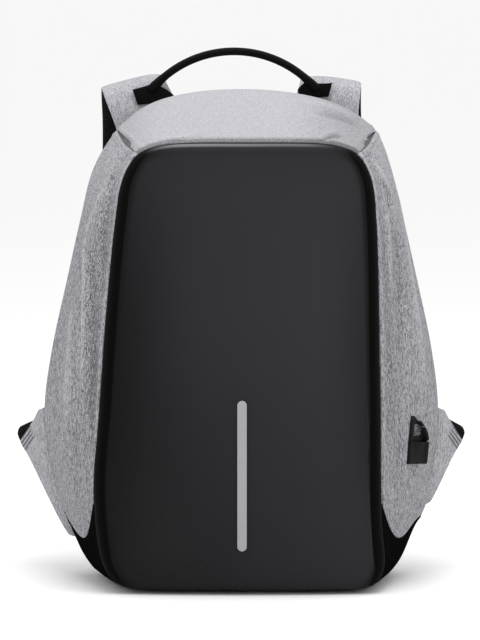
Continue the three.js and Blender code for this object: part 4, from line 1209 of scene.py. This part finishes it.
for index in scoop:
    port.data.polygons[index].material_index = 1
bevel(port, 0.0005, 3)
apply(port)
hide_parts("charging_port")
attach(port, "root")
print("port faces", tuple(round(v, 2) for v in facing), "scoop faces", len(scoop))

# %% [markdown]
# ## Hard pieces
# The stripe, the adjusters and the slider keep their solids, which have the right shape already. They only
# get their finish and a small bevel that catches the light.

# %% Hard pieces
HARD = {
    "reflective_stripe": (film, 0.0003),
    "adjuster_right": (plastic, 0.0005),
    "adjuster_left": (plastic, 0.0005),
    "zip_slider": (metal, 0.0003),
}
for name, (material, width) in HARD.items():
    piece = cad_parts[name]
    piece.data.materials.clear()
    piece.data.materials.append(material)
    weld = piece.modifiers.new("weld", "WELD")
    weld.merge_threshold = WELD
    bevel(piece, width, 2)
    print(name, "bevelled by", width)

# %% [markdown]
# ## Floor and light
# The bag stands on a plain pale floor that runs to the horizon. One wide soft light hangs above and in
# front, as in a studio, and a white sky fills the shade.

# %% Floor and light
FLOOR = 500.0

floor_mesh = bpy.data.meshes.new("floor")
floor_corners = [(-FLOOR, -FLOOR, 0), (FLOOR, -FLOOR, 0), (FLOOR, FLOOR, 0), (-FLOOR, FLOOR, 0)]
floor_mesh.from_pydata(floor_corners, [], [(0, 1, 2, 3)])
floor_finish = Finish("pale_floor", {"Roughness": 0.9, "Specular IOR Level": 0.1})
paper = floor_finish.noise(floor_finish.place(), 40.0)
floor_finish.shade(Base_Color=floor_finish.mix(paper, (0.92, 0.92, 0.92), (0.94, 0.94, 0.94)))
floor = linked("floor", floor_mesh, floor_finish.material)
floor.location.z = -0.0005

sky = bpy.data.worlds.new("sky")
sky.use_nodes = True
sky.node_tree.nodes["Background"].inputs["Color"].default_value = (1, 1, 1, 1)
sky.node_tree.nodes["Background"].inputs["Strength"].default_value = 1.0
bpy.context.scene.world = sky


def soft_light(name, place, aim, size, power):
    lamp = bpy.data.objects.new(name, bpy.data.lights.new(name, "AREA"))
    lamp.data.shape = "SQUARE"
    lamp.data.size = size
    lamp.data.energy = power
    lamp.location = place
    lamp.rotation_mode = "QUATERNION"
    lamp.rotation_quaternion = (Vector(aim) - Vector(place)).to_track_quat("-Z", "Y")
    bpy.context.scene.collection.objects.link(lamp)


soft_light("overhead", (0.1, -0.5, 2.2), (0, 0, 0.3), 1.4, 26)
bpy.context.scene.view_settings.view_transform = "Standard"
